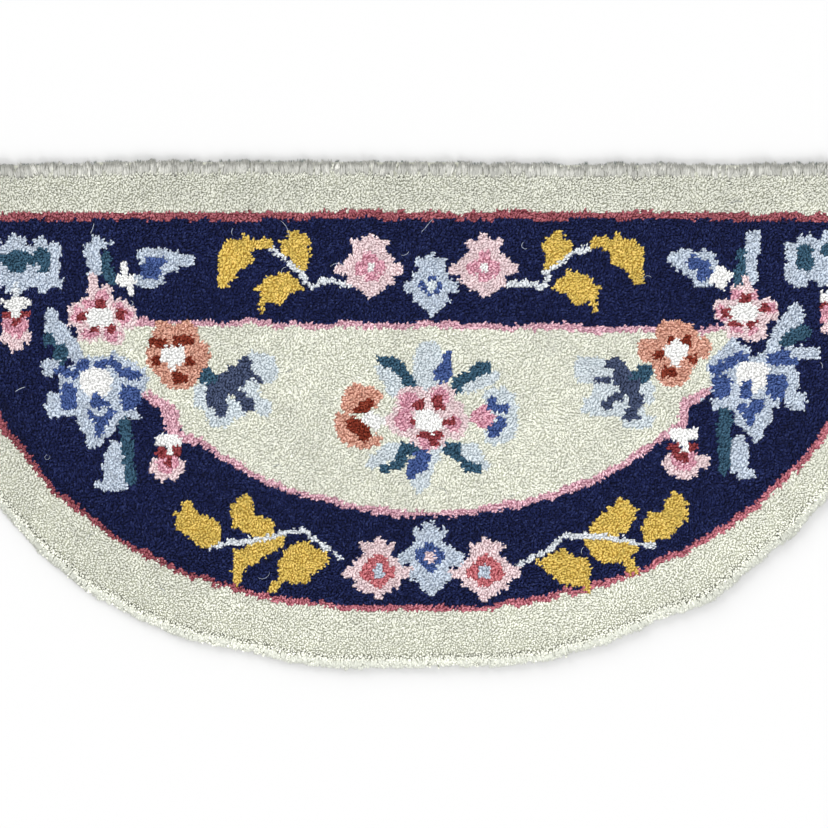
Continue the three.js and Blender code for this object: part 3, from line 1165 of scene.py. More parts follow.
class Nodes:
    """A node tree with short ways to add and join its nodes."""

    fibre_gloss = 0.25

    def __init__(self, tree: bpy.types.NodeTree) -> None:
        """Hold the tree."""
        self.tree = tree

    def add(self, kind: str) -> bpy.types.Node:
        """Add a node of a kind."""
        return self.tree.nodes.new(kind)

    def join(self, value: Value, socket: bpy.types.NodeSocket) -> None:
        """Link a socket to an input, or set the input to a number.

        Args:
            value: An output socket or a number.
            socket: The input.
        """
        if isinstance(value, bpy.types.NodeSocket):
            self.tree.links.new(value, socket)
        else:
            socket.default_value = value

    def attribute(self, name: str) -> bpy.types.Node:
        """Read what the mesh carries at its points or corners.

        Args:
            name: What is read.

        Returns:
            The node that gives it.
        """
        node = self.add("ShaderNodeAttribute")
        node.attribute_name = name
        return node

    def place(self) -> bpy.types.NodeSocket:
        """Read the place on the piece, in metres."""
        return self.add("ShaderNodeTexCoord").outputs["Object"]

    def noise(self, place: Value, scale: float, detail: float) -> bpy.types.NodeSocket:
        """Add a noise pattern.

        Args:
            place: The vector it reads.
            scale: Its fineness, per metre.
            detail: Its octaves.

        Returns:
            The pattern, from 0 to 1.
        """
        node = self.add("ShaderNodeTexNoise")
        self.join(place, node.inputs["Vector"])
        node.inputs["Scale"].default_value = scale
        node.inputs["Detail"].default_value = detail
        return node.outputs["Fac"]

    def ridges(self, place: Value, direction: str, pitch: float, unevenness: float) -> bpy.types.NodeSocket:
        """Add even ridges, as of threads.

        Args:
            place: The vector they read.
            direction: The axis that they follow one another along.
            pitch: Their distance, in metres.
            unevenness: How much they waver.

        Returns:
            The pattern, from 0 to 1.
        """
        node = self.add("ShaderNodeTexWave")
        node.bands_direction = direction
        node.inputs["Scale"].default_value = math.tau / (WAVE_STEP * pitch)
        node.inputs["Distortion"].default_value = unevenness
        self.join(place, node.inputs["Vector"])
        return node.outputs["Fac"]

    def maths(self, operation: str, *values: Value) -> bpy.types.NodeSocket:
        """Add a sum of one step.

        Args:
            operation: What is done with the values.
            values: The values, in the order of the inputs.

        Returns:
            The result.
        """
        node = self.add("ShaderNodeMath")
        node.operation = operation
        for value, socket in zip(values, node.inputs):
            self.join(value, socket)
        return node.outputs["Value"]

    def spread(
        self, value: Value, low: float, high: float, to_low: float, to_high: float
    ) -> bpy.types.NodeSocket:
        """Map a range of values onto another, clamped at its ends.

        Args:
            value: The value to map.
            low: The lowest value read.
            high: The highest value read.
            to_low: What the lowest becomes.
            to_high: What the highest becomes.

        Returns:
            The mapped value.
        """
        node = self.add("ShaderNodeMapRange")
        ends = {"From Min": low, "From Max": high, "To Min": to_low, "To Max": to_high}
        for name, number in ends.items():
            node.inputs[name].default_value = number
        self.join(value, node.inputs["Value"])
        return node.outputs["Result"]

    def mix(self, blend: str, share: Value, first: Value, second: Value) -> bpy.types.NodeSocket:
        """Mix two colours.

        Args:
            blend: The way they are mixed.
            share: How much of the second is mixed in.
            first: The colour underneath.
            second: The colour on top.

        Returns:
            The mixed colour.
        """
        node = self.add("ShaderNodeMix")
        node.data_type = "RGBA"
        node.blend_type = blend
        sockets = {socket.identifier: socket for socket in [*node.inputs, *node.outputs]}
        self.join(share, sockets["Factor_Float"])
        self.join(first, sockets["A_Color"])
        self.join(second, sockets["B_Color"])
        return sockets["Result_Color"]

    def bump(self, height: Value, strength: float, distance: float) -> bpy.types.NodeSocket:
        """Turn a height pattern into a bumped normal.

        Args:
            height: The pattern.
            strength: How strongly it shows.
            distance: Its height, in metres.

        Returns:
            The normal.
        """
        node = self.add("ShaderNodeBump")
        node.inputs["Strength"].default_value = strength
        node.inputs["Distance"].default_value = distance
        self.join(height, node.inputs["Height"])
        return node.outputs["Normal"]

    def surface(self, colour: Value, roughness: Value, normal: Value) -> bpy.types.Node:
        """Finish a material with a surface of fibres.

        Args:
            colour: Its colour.
            roughness: Its roughness.
            normal: Its bumped normal.

        Returns:
            The surface's shader.
        """
        shader = self.add("ShaderNodeBsdfPrincipled")
        shader.inputs["Specular IOR Level"].default_value = self.fibre_gloss
        self.join(colour, shader.inputs["Base Color"])
        self.join(roughness, shader.inputs["Roughness"])
        self.join(normal, shader.inputs["Normal"])
        self.join(shader.outputs["BSDF"], self.add("ShaderNodeOutputMaterial").inputs["Surface"])
        return shader


def new_material(name: str) -> tuple[bpy.types.Material, Nodes]:
    """Start an empty material.

    Args:
        name: Its name.

    Returns:
        The material and its node tree.
    """
    made = bpy.data.materials.new(name)
    made.use_nodes = True
    made.node_tree.nodes.clear()
    return made, Nodes(made.node_tree)


class WoolFinish:
    """Dyed wool: uneven strands with painted shade and a deeper painted tint towards the root, darker
    towards the straight edge, with a fibrous skin.
    """

    group_name = "wool_strand"
    fibre_scale = 1400.0
    fibre_detail = 2.0
    fibre_bump = 0.35
    fibre_height = 0.4 * MM
    abrash_scale = 11.0
    abrash_detail = 3.0
    sheen = 0.12
    sheen_roughness = 0.5
    # Painted shade: the packed pile between the strands is toned as if low on a strand.
    packed_rise = 0.4
    packed_unevenness = 0.2
    packed_tone_scale = 560.0
    packed_tone_detail = 1.0
    worn_by_tone: Span = (0.45, 1.0, 0.0, 1.0)
    # Painted shade: low on the strand the dye is multiplied by itself, a deeper, warmer tint where the pile
    # lies deep.
    deep_shade_tint_by_rise: Span = (0.3, 0.95, 0.6, 0.0)
    # Painted shade: strands darken towards the root, by their rise.
    shade_by_rise: Span = (0.3, 1.0, 0.74, 1.05)
    shade_by_fibre: Span = (0.3, 0.7, 0.94, 1.05)
    shade_by_abrash: Span = (0.3, 0.7, 0.95, 1.04)
    rough_by_fibre: Span = (0.3, 0.7, 0.78, 0.95)
    # The colour darkens towards the straight edge, between these places along the carpet.
    darkening_to_straight_edge: Span = (212.0 * MM, 250.0 * MM, 1.0, 0.86)

    def group(self) -> bpy.types.NodeTree:
        """Build, once, the node group that tones a strand.

        Returns:
            The shared group.
        """
        made = bpy.data.node_groups.get(self.group_name)
        if made:
            return made
        made = bpy.data.node_groups.new(self.group_name, "ShaderNodeTree")
        takes = {"Dye": "Color", "Worn": "Color", "Wear": "Float", "Unevenness": "Float"}
        takes |= {"Tone": "Float", "Rise": "Float", "Place": "Vector"}
        gives = {"Colour": "Color", "Roughness": "Float", "Height": "Float"}
        for way, sockets in (("INPUT", takes), ("OUTPUT", gives)):
            for name, kind in sockets.items():
                made.interface.new_socket(name=name, in_out=way, socket_type=f"NodeSocket{kind}")
        tree = Nodes(made)
        given = tree.add("NodeGroupInput").outputs
        put_out = tree.add("NodeGroupOutput").inputs
        fibres = tree.noise(given["Place"], self.fibre_scale, self.fibre_detail)
        abrash = tree.noise(given["Place"], self.abrash_scale, self.abrash_detail)
        worn = tree.maths("MULTIPLY", tree.spread(given["Tone"], *self.worn_by_tone), given["Wear"])
        dyed = tree.mix("MIX", worn, given["Dye"], given["Worn"])
        # Painted shade tint: the colour deepens towards the root.
        deep_shade_tint = tree.spread(given["Rise"], *self.deep_shade_tint_by_rise)
        colour = tree.mix("MULTIPLY", deep_shade_tint, dyed, given["Dye"])
        swing = tree.spread(given["Tone"], 0.0, 1.0, -1.0, 1.0)
        shade = tree.maths("MULTIPLY_ADD", swing, given["Unevenness"], 1.0)
        place = tree.add("ShaderNodeSeparateXYZ")
        tree.join(given["Place"], place.inputs["Vector"])
        # Painted shade towards the root and darkening towards the straight edge; fibre flecks and dye-bath
        # patches are the wool's own.
        for value, span in (
            (given["Rise"], self.shade_by_rise),
            (fibres, self.shade_by_fibre),
            (abrash, self.shade_by_abrash),
            (place.outputs["Y"], self.darkening_to_straight_edge),
        ):
            shade = tree.maths("MULTIPLY", shade, tree.spread(value, *span))
        tree.join(tree.mix("MULTIPLY", 1.0, colour, shade), put_out["Colour"])
        tree.join(tree.spread(fibres, *self.rough_by_fibre), put_out["Roughness"])
        tree.join(fibres, put_out["Height"])
        return made

    def dressed(self, tree: Nodes, strand: bpy.types.Node, sheen: Colour) -> None:
        """Join a toned strand to its surface.

        Args:
            tree: The material's nodes.
            strand: The placed group.
            sheen: The colour of the wool's soft sheen.
        """
        normal = tree.bump(strand.outputs["Height"], self.fibre_bump, self.fibre_height)
        shader = tree.surface(strand.outputs["Colour"], strand.outputs["Roughness"], normal)
        shader.inputs["Sheen Weight"].default_value = self.sheen
        shader.inputs["Sheen Roughness"].default_value = self.sheen_roughness
        shader.inputs["Sheen Tint"].default_value = linear(sheen)

    def material(self, wool: Wool) -> bpy.types.Material:
        """Build, once, the material of one wool's strands.

        Args:
            wool: The dyed wool.

        Returns:
            Its material.
        """
        name = f"{wool.name.lower()}_wool"
        made = bpy.data.materials.get(name)
        if made:
            return made
        made, tree = new_material(name)
        strand = tree.add("ShaderNodeGroup")
        strand.node_tree = self.group()
        strand.inputs["Dye"].default_value = linear(wool.value.colour)
        strand.inputs["Worn"].default_value = linear(wool.value.worn)
        strand.inputs["Wear"].default_value = wool.value.wear
        strand.inputs["Unevenness"].default_value = wool.value.unevenness
        tree.join(tree.attribute("tone").outputs["Fac"], strand.inputs["Tone"])
        tree.join(tree.attribute("rise").outputs["Fac"], strand.inputs["Rise"])
        tree.join(tree.place(), strand.inputs["Place"])
        self.dressed(tree, strand, wool.value.worn)
        return made

    def packed(self) -> bpy.types.Material:
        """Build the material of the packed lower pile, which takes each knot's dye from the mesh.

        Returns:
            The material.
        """
        made, tree = new_material("packed_wool")
        strand = tree.add("ShaderNodeGroup")
        strand.node_tree = self.group()
        dye = tree.attribute("dye").outputs["Color"]
        tree.join(dye, strand.inputs["Dye"])
        tree.join(dye, strand.inputs["Worn"])
        strand.inputs["Unevenness"].default_value = self.packed_unevenness
        # Painted shade: the packed pile takes the darker tone of a low rise.
        strand.inputs["Rise"].default_value = self.packed_rise
        place = tree.place()
        tone = tree.noise(place, self.packed_tone_scale, self.packed_tone_detail)
        tree.join(tone, strand.inputs["Tone"])
        tree.join(place, strand.inputs["Place"])
        self.dressed(tree, strand, Wool.IVORY.value.worn)
        return made


@dataclass(frozen=True)
class KnottedBack:
    """The back of the weave: two loops of dyed wool for each knot, with cotton wefts between the rows."""

    pitch: float
    cotton: Colour = (204, 196, 174)
    slub_scale: float = 420.0
    slub_detail: float = 3.0
    loop_waver: float = 0.5
    row_waver: float = 0.4
    height_by_loop: Span = (0.0, 1.0, 0.45, 1.0)
    height_by_slub: Span = (0.25, 0.75, 0.75, 1.0)
    wool_by_row: Span = (0.1, 0.4, 0.25, 1.0)
    shade_by_height: Span = (0.0, 1.0, 0.72, 1.05)
    rough_by_slub: Span = (0.3, 0.7, 0.82, 0.96)
    bump: float = 0.7
    knot_height: float = 0.9 * MM

    def material(self) -> bpy.types.Material:
        """Build the material of the foundation.

        Returns:
            The woven back.
        """
        made, tree = new_material("knotted_back")
        place = tree.place()
        loops = tree.ridges(place, "X", 0.5 * self.pitch, self.loop_waver)
        rows = tree.ridges(place, "Y", self.pitch, self.row_waver)
        slub = tree.noise(place, self.slub_scale, self.slub_detail)
        knot = tree.maths("MULTIPLY", tree.spread(loops, *self.height_by_loop), rows)
        height = tree.maths("MULTIPLY", knot, tree.spread(slub, *self.height_by_slub))
        share = tree.spread(rows, *self.wool_by_row)
        dyed = tree.mix("MIX", share, linear(self.cotton), tree.attribute("dye").outputs["Color"])
        colour = tree.mix("MULTIPLY", 1.0, dyed, tree.spread(height, *self.shade_by_height))
        roughness = tree.spread(slub, *self.rough_by_slub)
        tree.surface(colour, roughness, tree.bump(height, self.bump, self.knot_height))
        return made


@dataclass
class Strands:
    """Many lengths of yarn: the points each runs through, its thickness at them, its tone and its rise."""

    line: Array
    radius: Array
    tone: Array
    # rise runs from 0 at the root to 1 at the tip; the wool material paints shade by it.
    rise: tuple[float, ...] = (0.0, 0.8, 1.0)

    sides = 3
    steep = 0.7
    cell_margin = 0.08

    def pick(self, chosen: Array) -> Strands:
        """Give some of the strands."""
        return Strands(self.line[chosen], self.radius[chosen], self.tone[chosen], self.rise)

    def points(self, rng: np.random.Generator) -> Array:
        """Work out each strand's root, rings and tip.

        Args:
            rng: Source of each strand's roll.

        Returns:
            Points by strand.
        """
        roll = rng.uniform(0.0, math.tau, len(self.line))
        points = [self.line[:, 0]]
        for stop in range(1, self.line.shape[1] - 1):
            axis = self.line[:, stop + 1] - self.line[:, stop - 1]
            axis = axis / np.linalg.norm(axis, axis=1, keepdims=True)
            beside = np.where(np.abs(axis[:, 2:]) > self.steep, [[1.0, 0.0, 0.0]], [[0.0, 0.0, 1.0]])
            first = np.cross(axis, beside)
            first /= np.linalg.norm(first, axis=1, keepdims=True)
            second = np.cross(axis, first)
            for side in range(self.sides):
                angle = roll + math.tau * side / self.sides
                swing = np.cos(angle)[:, None] * first + np.sin(angle)[:, None] * second
                points.append(self.line[:, stop] + swing * self.radius[:, stop, None])
        return np.stack([*points, self.line[:, -1]], axis=1)

    def pattern(self) -> tuple[Array, Array]:
        """Number the corners of one strand's triangles and place them on a map of its skin.

        Returns:
            Corners by triangle, and their places round and along the strand, from 0 to 1.
        """
        rings = self.line.shape[1] - 2
        heights = [(ring + 1.0) / (rings + 1.0) for ring in range(rings)]
        tip = 1 + rings * self.sides
        corners, places = [], []
        for side in range(self.sides):
            after = (side + 1) % self.sides
            left, right = side / self.sides, (side + 1.0) / self.sides
            middle = 0.5 * (left + right)
            corners.append((1 + after, 1 + side, 0))
            places.append(((right, heights[0]), (left, heights[0]), (middle, 0.0)))
            for ring in range(rings - 1):
                a, b = 1 + ring * self.sides + side, 1 + ring * self.sides + after
                low, high = heights[ring], heights[ring + 1]
                corners += [(a, b, b + self.sides), (a, b + self.sides, a + self.sides)]
                places.append(((left, low), (right, low), (right, high)))
                places.append(((left, low), (right, high), (left, high)))
            corners.append((tip - self.sides + side, tip - self.sides + after, tip))
            places.append(((left, heights[-1]), (right, heights[-1]), (middle, 1.0)))
        return np.array(corners), np.array(places)

    def build(self, name: str, rng: np.random.Generator) -> bpy.types.Object:
        """Make all the strands as one mesh, with a map that gives each strand a cell of its own.

        Args:
            name: The piece's name.
            rng: Source of each strand's roll.

        Returns:
            The piece, linked to the scene.
        """
        points = self.points(rng)
        count, stops = points.shape[:2]
        pattern, places = self.pattern()
        corners = (np.arange(count)[:, None, None] * stops + pattern[None]).ravel()
        columns = math.ceil(math.sqrt(count))
        cells = np.stack([np.arange(count) % columns, np.arange(count) // columns], axis=1)
        places = self.cell_margin + (1.0 - 2.0 * self.cell_margin) * places
        skin = (cells[:, None, None] + places[None]) / columns
        mesh = bpy.data.meshes.new(name)
        mesh.vertices.add(count * stops)
        mesh.vertices.foreach_set("co", points.ravel().astype(np.float32))
        mesh.loops.add(len(corners))
        mesh.loops.foreach_set("vertex_index", corners.astype(np.int32))
        mesh.polygons.add(len(corners) // 3)
        mesh.polygons.foreach_set("loop_start", np.arange(0, len(corners), 3, dtype=np.int32))
        mesh.update(calc_edges=True)
        mesh.shade_smooth()
        rises = [self.rise[0], *np.repeat(self.rise[1:-1], self.sides), self.rise[-1]]
        carried = {"tone": np.repeat(self.tone, stops), "rise": np.tile(rises, count)}
        for label, values in carried.items():
            attribute = mesh.attributes.new(label, "FLOAT", "POINT")
            attribute.data.foreach_set("value", values.astype(np.float32))
        mesh.uv_layers.new(name="OFBake").data.foreach_set("uv", skin.ravel().astype(np.float32))
        piece = bpy.data.objects.new(name, mesh)
        bpy.context.scene.collection.objects.link(piece)
        return piece


def seat(piece: bpy.types.Object) -> None:
    """Set a piece on the carpet's body, in the place of its solid.

    Args:
        piece: The piece to set.
    """
    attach(piece, BODY)
    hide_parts(CAD_NODE)


@dataclass
class KnotGrid:
    """Where the knots are tied, in even rows from the straight edge, and the wool of each."""

    rim: RimLine
    chart: KnotChart
    pitch: float = 3.486 * MM
    straight_edge: float = 297.0 * MM
    spare: int = 3
    wools: Array = field(default_factory=lambda: np.zeros((1, 1), int))

    @property
    def reach(self) -> int:
        """Count the knots from the middle line to the end of a row."""
        return math.ceil(float(np.abs(self.rim.x).max()) / self.pitch) + self.spare

    @property
    def rows(self) -> int:
        """Count the rows."""
        return math.ceil((self.straight_edge - float(self.rim.y.min())) / self.pitch) + 2 * self.spare

    def tie(self, rng: np.random.Generator) -> None:
        """Choose the wool of every knot from the chart.

        Args:
            rng: Source of the hand's unevenness.
        """
        columns = np.arange(-self.reach, self.reach + 1.0)
        across, down = np.meshgrid(columns, np.arange(self.rows) - float(self.spare))
        self.wools = self.chart.wools(across.ravel(), down.ravel(), rng).reshape(across.shape)

    def nearest(self, x: Array, y: Array) -> Array:
        """Give the wools of the knots nearest to places on the carpet.

        Args:
            x: Places across, in metres.
            y: Places along, in metres.

        Returns:
            Places of the wools in WOOLS.
        """
        column = np.rint(x / self.pitch).astype(int) + self.reach
        row = np.rint((self.straight_edge - y) / self.pitch).astype(int) + self.spare
        return self.wools[np.clip(row, 0, self.rows - 1), np.clip(column, 0, 2 * self.reach)]


@dataclass
class KnotLayer:
    """A layer of the weave with one face for each knot, dyed as the knot is, and a plain far side."""

    grid: KnotGrid
    name: str
    margin: float
    level: float
    far_level: float
    shoulder: float = 0.0
    fall: float = 0.0
    unevenness: float = 0.0

    def cut(self) -> bpy.types.Object:
        """Cut the layer's outline from an even grid of knots and close its far side.

        Returns:
            The flat layer.
        """
        pitch, columns, rows = self.grid.pitch, 2 * self.grid.reach + 1, self.grid.rows
        bpy.ops.object.select_all(action="DESELECT")
        bpy.ops.mesh.primitive_grid_add(x_subdivisions=columns, y_subdivisions=rows, size=1.0)
        layer = bpy.context.object
        layer.name = layer.data.name = self.name
        mesh = layer.data
        points = read_places(mesh.vertices, "co")
        points[:, 0] *= columns * pitch
        middle = self.grid.straight_edge - (0.5 * (rows - 1) - self.grid.spare) * pitch
        points[:, 1] = points[:, 1] * rows * pitch + middle
        points[:, 2] = self.level
        mesh.vertices.foreach_set("co", points.ravel())
        centres = read_places(mesh.polygons, "center")
        gap, _, _ = self.grid.rim.inset(centres[:, 0], centres[:, 1])
        mesh.vertices.foreach_set("select", np.zeros(len(mesh.vertices), bool))
        mesh.edges.foreach_set("select", np.zeros(len(mesh.edges), bool))
        mesh.polygons.foreach_set("select", gap < self.margin)
        bpy.context.tool_settings.mesh_select_mode = (False, False, True)
        bpy.ops.object.mode_set(mode="EDIT")
        bpy.ops.mesh.delete(type="FACE")
        bpy.ops.mesh.select_all(action="SELECT")
        bpy.ops.mesh.region_to_loop()
        across = (0.0, 0.0, self.far_level - self.level)
        bpy.ops.mesh.extrude_edges_move(TRANSFORM_OT_translate={"value": across})
        bpy.ops.mesh.edge_face_add()
        bpy.ops.mesh.select_all(action="SELECT")
        bpy.ops.mesh.normals_make_consistent(inside=False)
        bpy.ops.object.mode_set(mode="OBJECT")
        return layer

    def shape(self, mesh: bpy.types.Mesh, rng: np.random.Generator) -> None:
        """Make the knotted side uneven and round it off at the rim.

        Args:
            mesh: The flat layer's mesh.
            rng: Source of its unevenness.
        """
        points = read_places(mesh.vertices, "co")
        gap, _, _ = self.grid.rim.inset(points[:, 0], points[:, 1])
        edge = nearness(gap, self.shoulder, self.margin)
        lift = rng.normal(0.0, self.unevenness, len(points)) - self.fall * edge**2
        near = np.abs(points[:, 2] - self.level) < np.abs(points[:, 2] - self.far_level)
        points[near, 2] += lift[near]
        mesh.vertices.foreach_set("co", points.ravel())

    def build(self, finish: bpy.types.Material, rng: np.random.Generator) -> bpy.types.Object:
        """Make the layer, shape its knotted side and dye its faces.

        Args:
            finish: Its material.
            rng: Source of its unevenness.

        Returns:
            The layer.
        """
        layer = self.cut()
        mesh = layer.data
        if self.shoulder > 0.0:
            self.shape(mesh, rng)
        centres = read_places(mesh.polygons, "center")
        dyes = np.array([linear(wool.value.colour) for wool in WOOLS])
        colours = dyes[self.grid.nearest(centres[:, 0], centres[:, 1])]
        sizes = np.empty(len(mesh.polygons), int)
        mesh.polygons.foreach_get("loop_total", sizes)
        dye = mesh.color_attributes.new("dye", "FLOAT_COLOR", "CORNER")
        dye.data.foreach_set("color", np.repeat(colours, sizes, axis=0).ravel().astype(np.float32))
        mesh.update()
        mesh.materials.append(finish)
        seat(layer)
        LOG.info("%s: %d faces", layer.name, len(mesh.polygons))
        return layer


STRAIGHT = 0.8
SPINDLE = (0.0, 1.0, 0.0)


@dataclass
class RimTufts:
    """The tufts that fall outward over the rim, in rows from the floor up, each a bundle of strands."""

    grid: KnotGrid
    spacing: float = 3.8 * MM
    rows: int = 4
    bundle: int = 6
    length: float = 13.0 * MM
    straight_extra: float = 8.5 * MM
    length_spread: Point = (0.8, 1.15)
    radius: float = 1.5 * MM
    radius_spread: Point = (0.75, 1.25)
    overhang: float = 1.2 * MM
    straight_drawback: float = 2.3 * MM
    top_setback: float = 2.6 * MM
    sway: float = 26.0 * MM
    sway_reach: float = 4.0 * MM
    clump: float = 9.0 * MM
    clump_reach: float = 3.0 * MM
    just_inside: float = 0.999
    strand_slide: float = 1.1 * MM
    tuft_skew: float = 1.8 * MM
    strand_skew: float = 1.2 * MM
    tuft_raggedness: float = 1.0 * MM
    strand_raggedness: float = 1.1 * MM
    root_levels: Point = (1.6 * MM, 7.6 * MM)
    tip_levels: Point = (1.4 * MM, 7.2 * MM)
    tip_unevenness: float = 0.4 * MM
    lowest: float = 0.6 * MM
    bend: float = 0.66
    arch: float = 1.6 * MM
    # Curved rim tufts: a high rise, so little painted shade at their roots.
    rise: tuple[float, ...] = (0.85, 0.95, 0.95)
    # Straight rim tufts: a low rise at their tips paints shade, a dark line along that edge.
    straight_rise: tuple[float, ...] = (1.0, 0.95, 0.55)
    # Painted shade: the straight rim's tufts are toned darker than the middle of the pile.
    straight_tone: float = 0.3
    # Painted shade: the curved rim's tufts are lightest at the bottom and darken towards its sides.
    curved_tone: float = 0.45
    side_tone: float = 0.1
    side_shade_fall: float = 1.1
    tone_unevenness: float = 0.12
    straight_unevenness: float = 0.06

    def grown(self, rng: np.random.Generator) -> tuple[Strands, Array, Array]:
        """Grow the tufts round the whole rim.

        Args:
            rng: Source of their unevenness.

        Returns:
            The strands, which of them are on the straight edge, and which are in the row on the floor.
        """
        edge = self.grid.rim.walk(self.spacing)
        _, *out = self.grid.rim.inset(*(axis * self.just_inside for axis in edge))
        reach = self.sway_reach * (smooth_noise(*edge, self.sway, rng) - 0.5)
        reach += self.clump_reach * (smooth_noise(*edge, self.clump, rng) - 0.5)
        rows = [self.row(share, edge, out, reach, rng) for share in np.linspace(0.0, 1.0, self.rows)]
        line = np.concatenate([row for row, _ in rows])
        tone = np.concatenate([tone for _, tone in rows])
        radius = np.outer(self.radius * rng.uniform(*self.radius_spread, len(line)), SPINDLE)
        straight = np.tile(np.repeat(out[1] > STRAIGHT, self.bundle), self.rows)
        foot = np.arange(len(line)) < len(line) // self.rows
        return Strands(line, radius, tone, self.rise), straight, foot

    def row(
        self, share: float, edge: Places, out: Places, reach: Array, rng: np.random.Generator
    ) -> tuple[Array, Array]:
        """Grow one row of tufts.

        Args:
            share: The row's height, from 0 at the floor to 1 at the top.
            edge: Places on the outline across and along.
            out: The outward direction at them.
            reach: How much further than usual the tufts reach there.
            rng: Source of their unevenness.

        Returns:
            The strands' lines and tones.
        """
        tufts = len(reach)
        each = (tufts, self.bundle)
        straight = out[1] > STRAIGHT
        tuft_slide = rng.uniform(-0.5, 0.5, tufts) * self.spacing
        slide = tuft_slide[:, None] + rng.normal(0.0, self.strand_slide, each)
        tuft_skew = rng.normal(0.0, self.tuft_skew, tufts) * (1.0 + straight)
        skew = tuft_skew[:, None] + rng.normal(0.0, self.strand_skew, each)
        end = self.top_setback * share**2 - self.overhang - reach + self.straight_drawback * straight
        end = end + rng.normal(0.0, self.tuft_raggedness, tufts)
        end = end[:, None] + np.abs(rng.normal(0.0, self.strand_raggedness, each))
        length = (self.length + self.straight_extra * straight) * rng.uniform(*self.length_spread, tufts)
        start = end + length[:, None]
        low = np.full(each, np.interp(share, (0.0, 1.0), self.root_levels))
        high = np.interp(share, (0.0, 1.0), self.tip_levels) + rng.normal(0.0, self.tip_unevenness, each)
        stops = []
        for along, arch in ((0.0, 0.0), (self.bend, self.arch), (1.0, 0.0)):
            inset = start + along * (end - start)
            aside = slide + along * skew
            x = edge[0][:, None] - out[0][:, None] * inset - out[1][:, None] * aside
            y = edge[1][:, None] - out[1][:, None] * inset + out[0][:, None] * aside
            z = np.maximum(low + along * (high - low) + arch, self.lowest)
            stops.append(np.stack([x, y, z], axis=2).reshape(-1, 3))
        # Painted shade on the curved rim, darker towards its sides; the straight rim takes its own tone.
        curved = np.maximum(self.curved_tone - self.side_shade_fall * (1.0 + out[1]), self.side_tone)
        light = np.where(straight, self.straight_tone, curved)
        light = light + rng.normal(0.0, self.tone_unevenness + self.straight_unevenness * straight, tufts)
        tone = np.clip(light[:, None] + rng.normal(0.0, self.tone_unevenness, each), 0.0, 1.0)
        return np.stack(stops, axis=1), tone.ravel()


@dataclass
class FallenFibres:
    """Loose fibres that curl about on top of the pile."""

    grid: KnotGrid
    level: float
    margin: float
    stops: int = 7
    step: Point = (1.4 * MM, 4.2 * MM)
    curl: float = 0.35
    waver: float = 0.15
    lift: Point = (-0.2 * MM, 0.3 * MM)
    radius: Point = (0.14 * MM, 0.26 * MM)
    tone: Point = (0.4, 0.9)
    rise: float = 0.9

    def dropped(self, count: int, ground: Wool, rng: np.random.Generator) -> Strands:
        """Scatter fibres on the pile.

        Args:
            count: How many are dropped; those that miss their ground are left out.
            ground: The wool on which they show.
            rng: Source of their places and curls.

        Returns:
            The fibres.
        """
        rim = self.grid.rim
        x = rng.uniform(rim.x.min(), rim.x.max(), count)
        y = rng.uniform(rim.y.min(), rim.y.max(), count)
        heading = rng.uniform(0.0, math.tau, count)
        step = rng.uniform(*self.step, count)
        curl = rng.normal(0.0, self.curl, count)
        stops = []
        for _ in range(self.stops):
            stops.append(np.stack([x, y, self.level + rng.uniform(*self.lift, count)], axis=1))
            heading = heading + curl + rng.normal(0.0, self.waver, count)
            x, y = x + np.cos(heading) * step, y + np.sin(heading) * step
        line = np.stack(stops, axis=1)
        profile = [0.0, *[1.0] * (self.stops - 2), 0.0]
        radius = np.outer(rng.uniform(*self.radius, count), profile)
        fibres = Strands(line, radius, rng.uniform(*self.tone, count), (self.rise,) * self.stops)
        middle = line[:, self.stops // 2]
        gap, _, _ = rim.inset(middle[:, 0], middle[:, 1])
        shows = self.grid.nearest(middle[:, 0], middle[:, 1]) == WOOLS.index(ground)
        return fibres.pick(shows & (gap > self.margin))


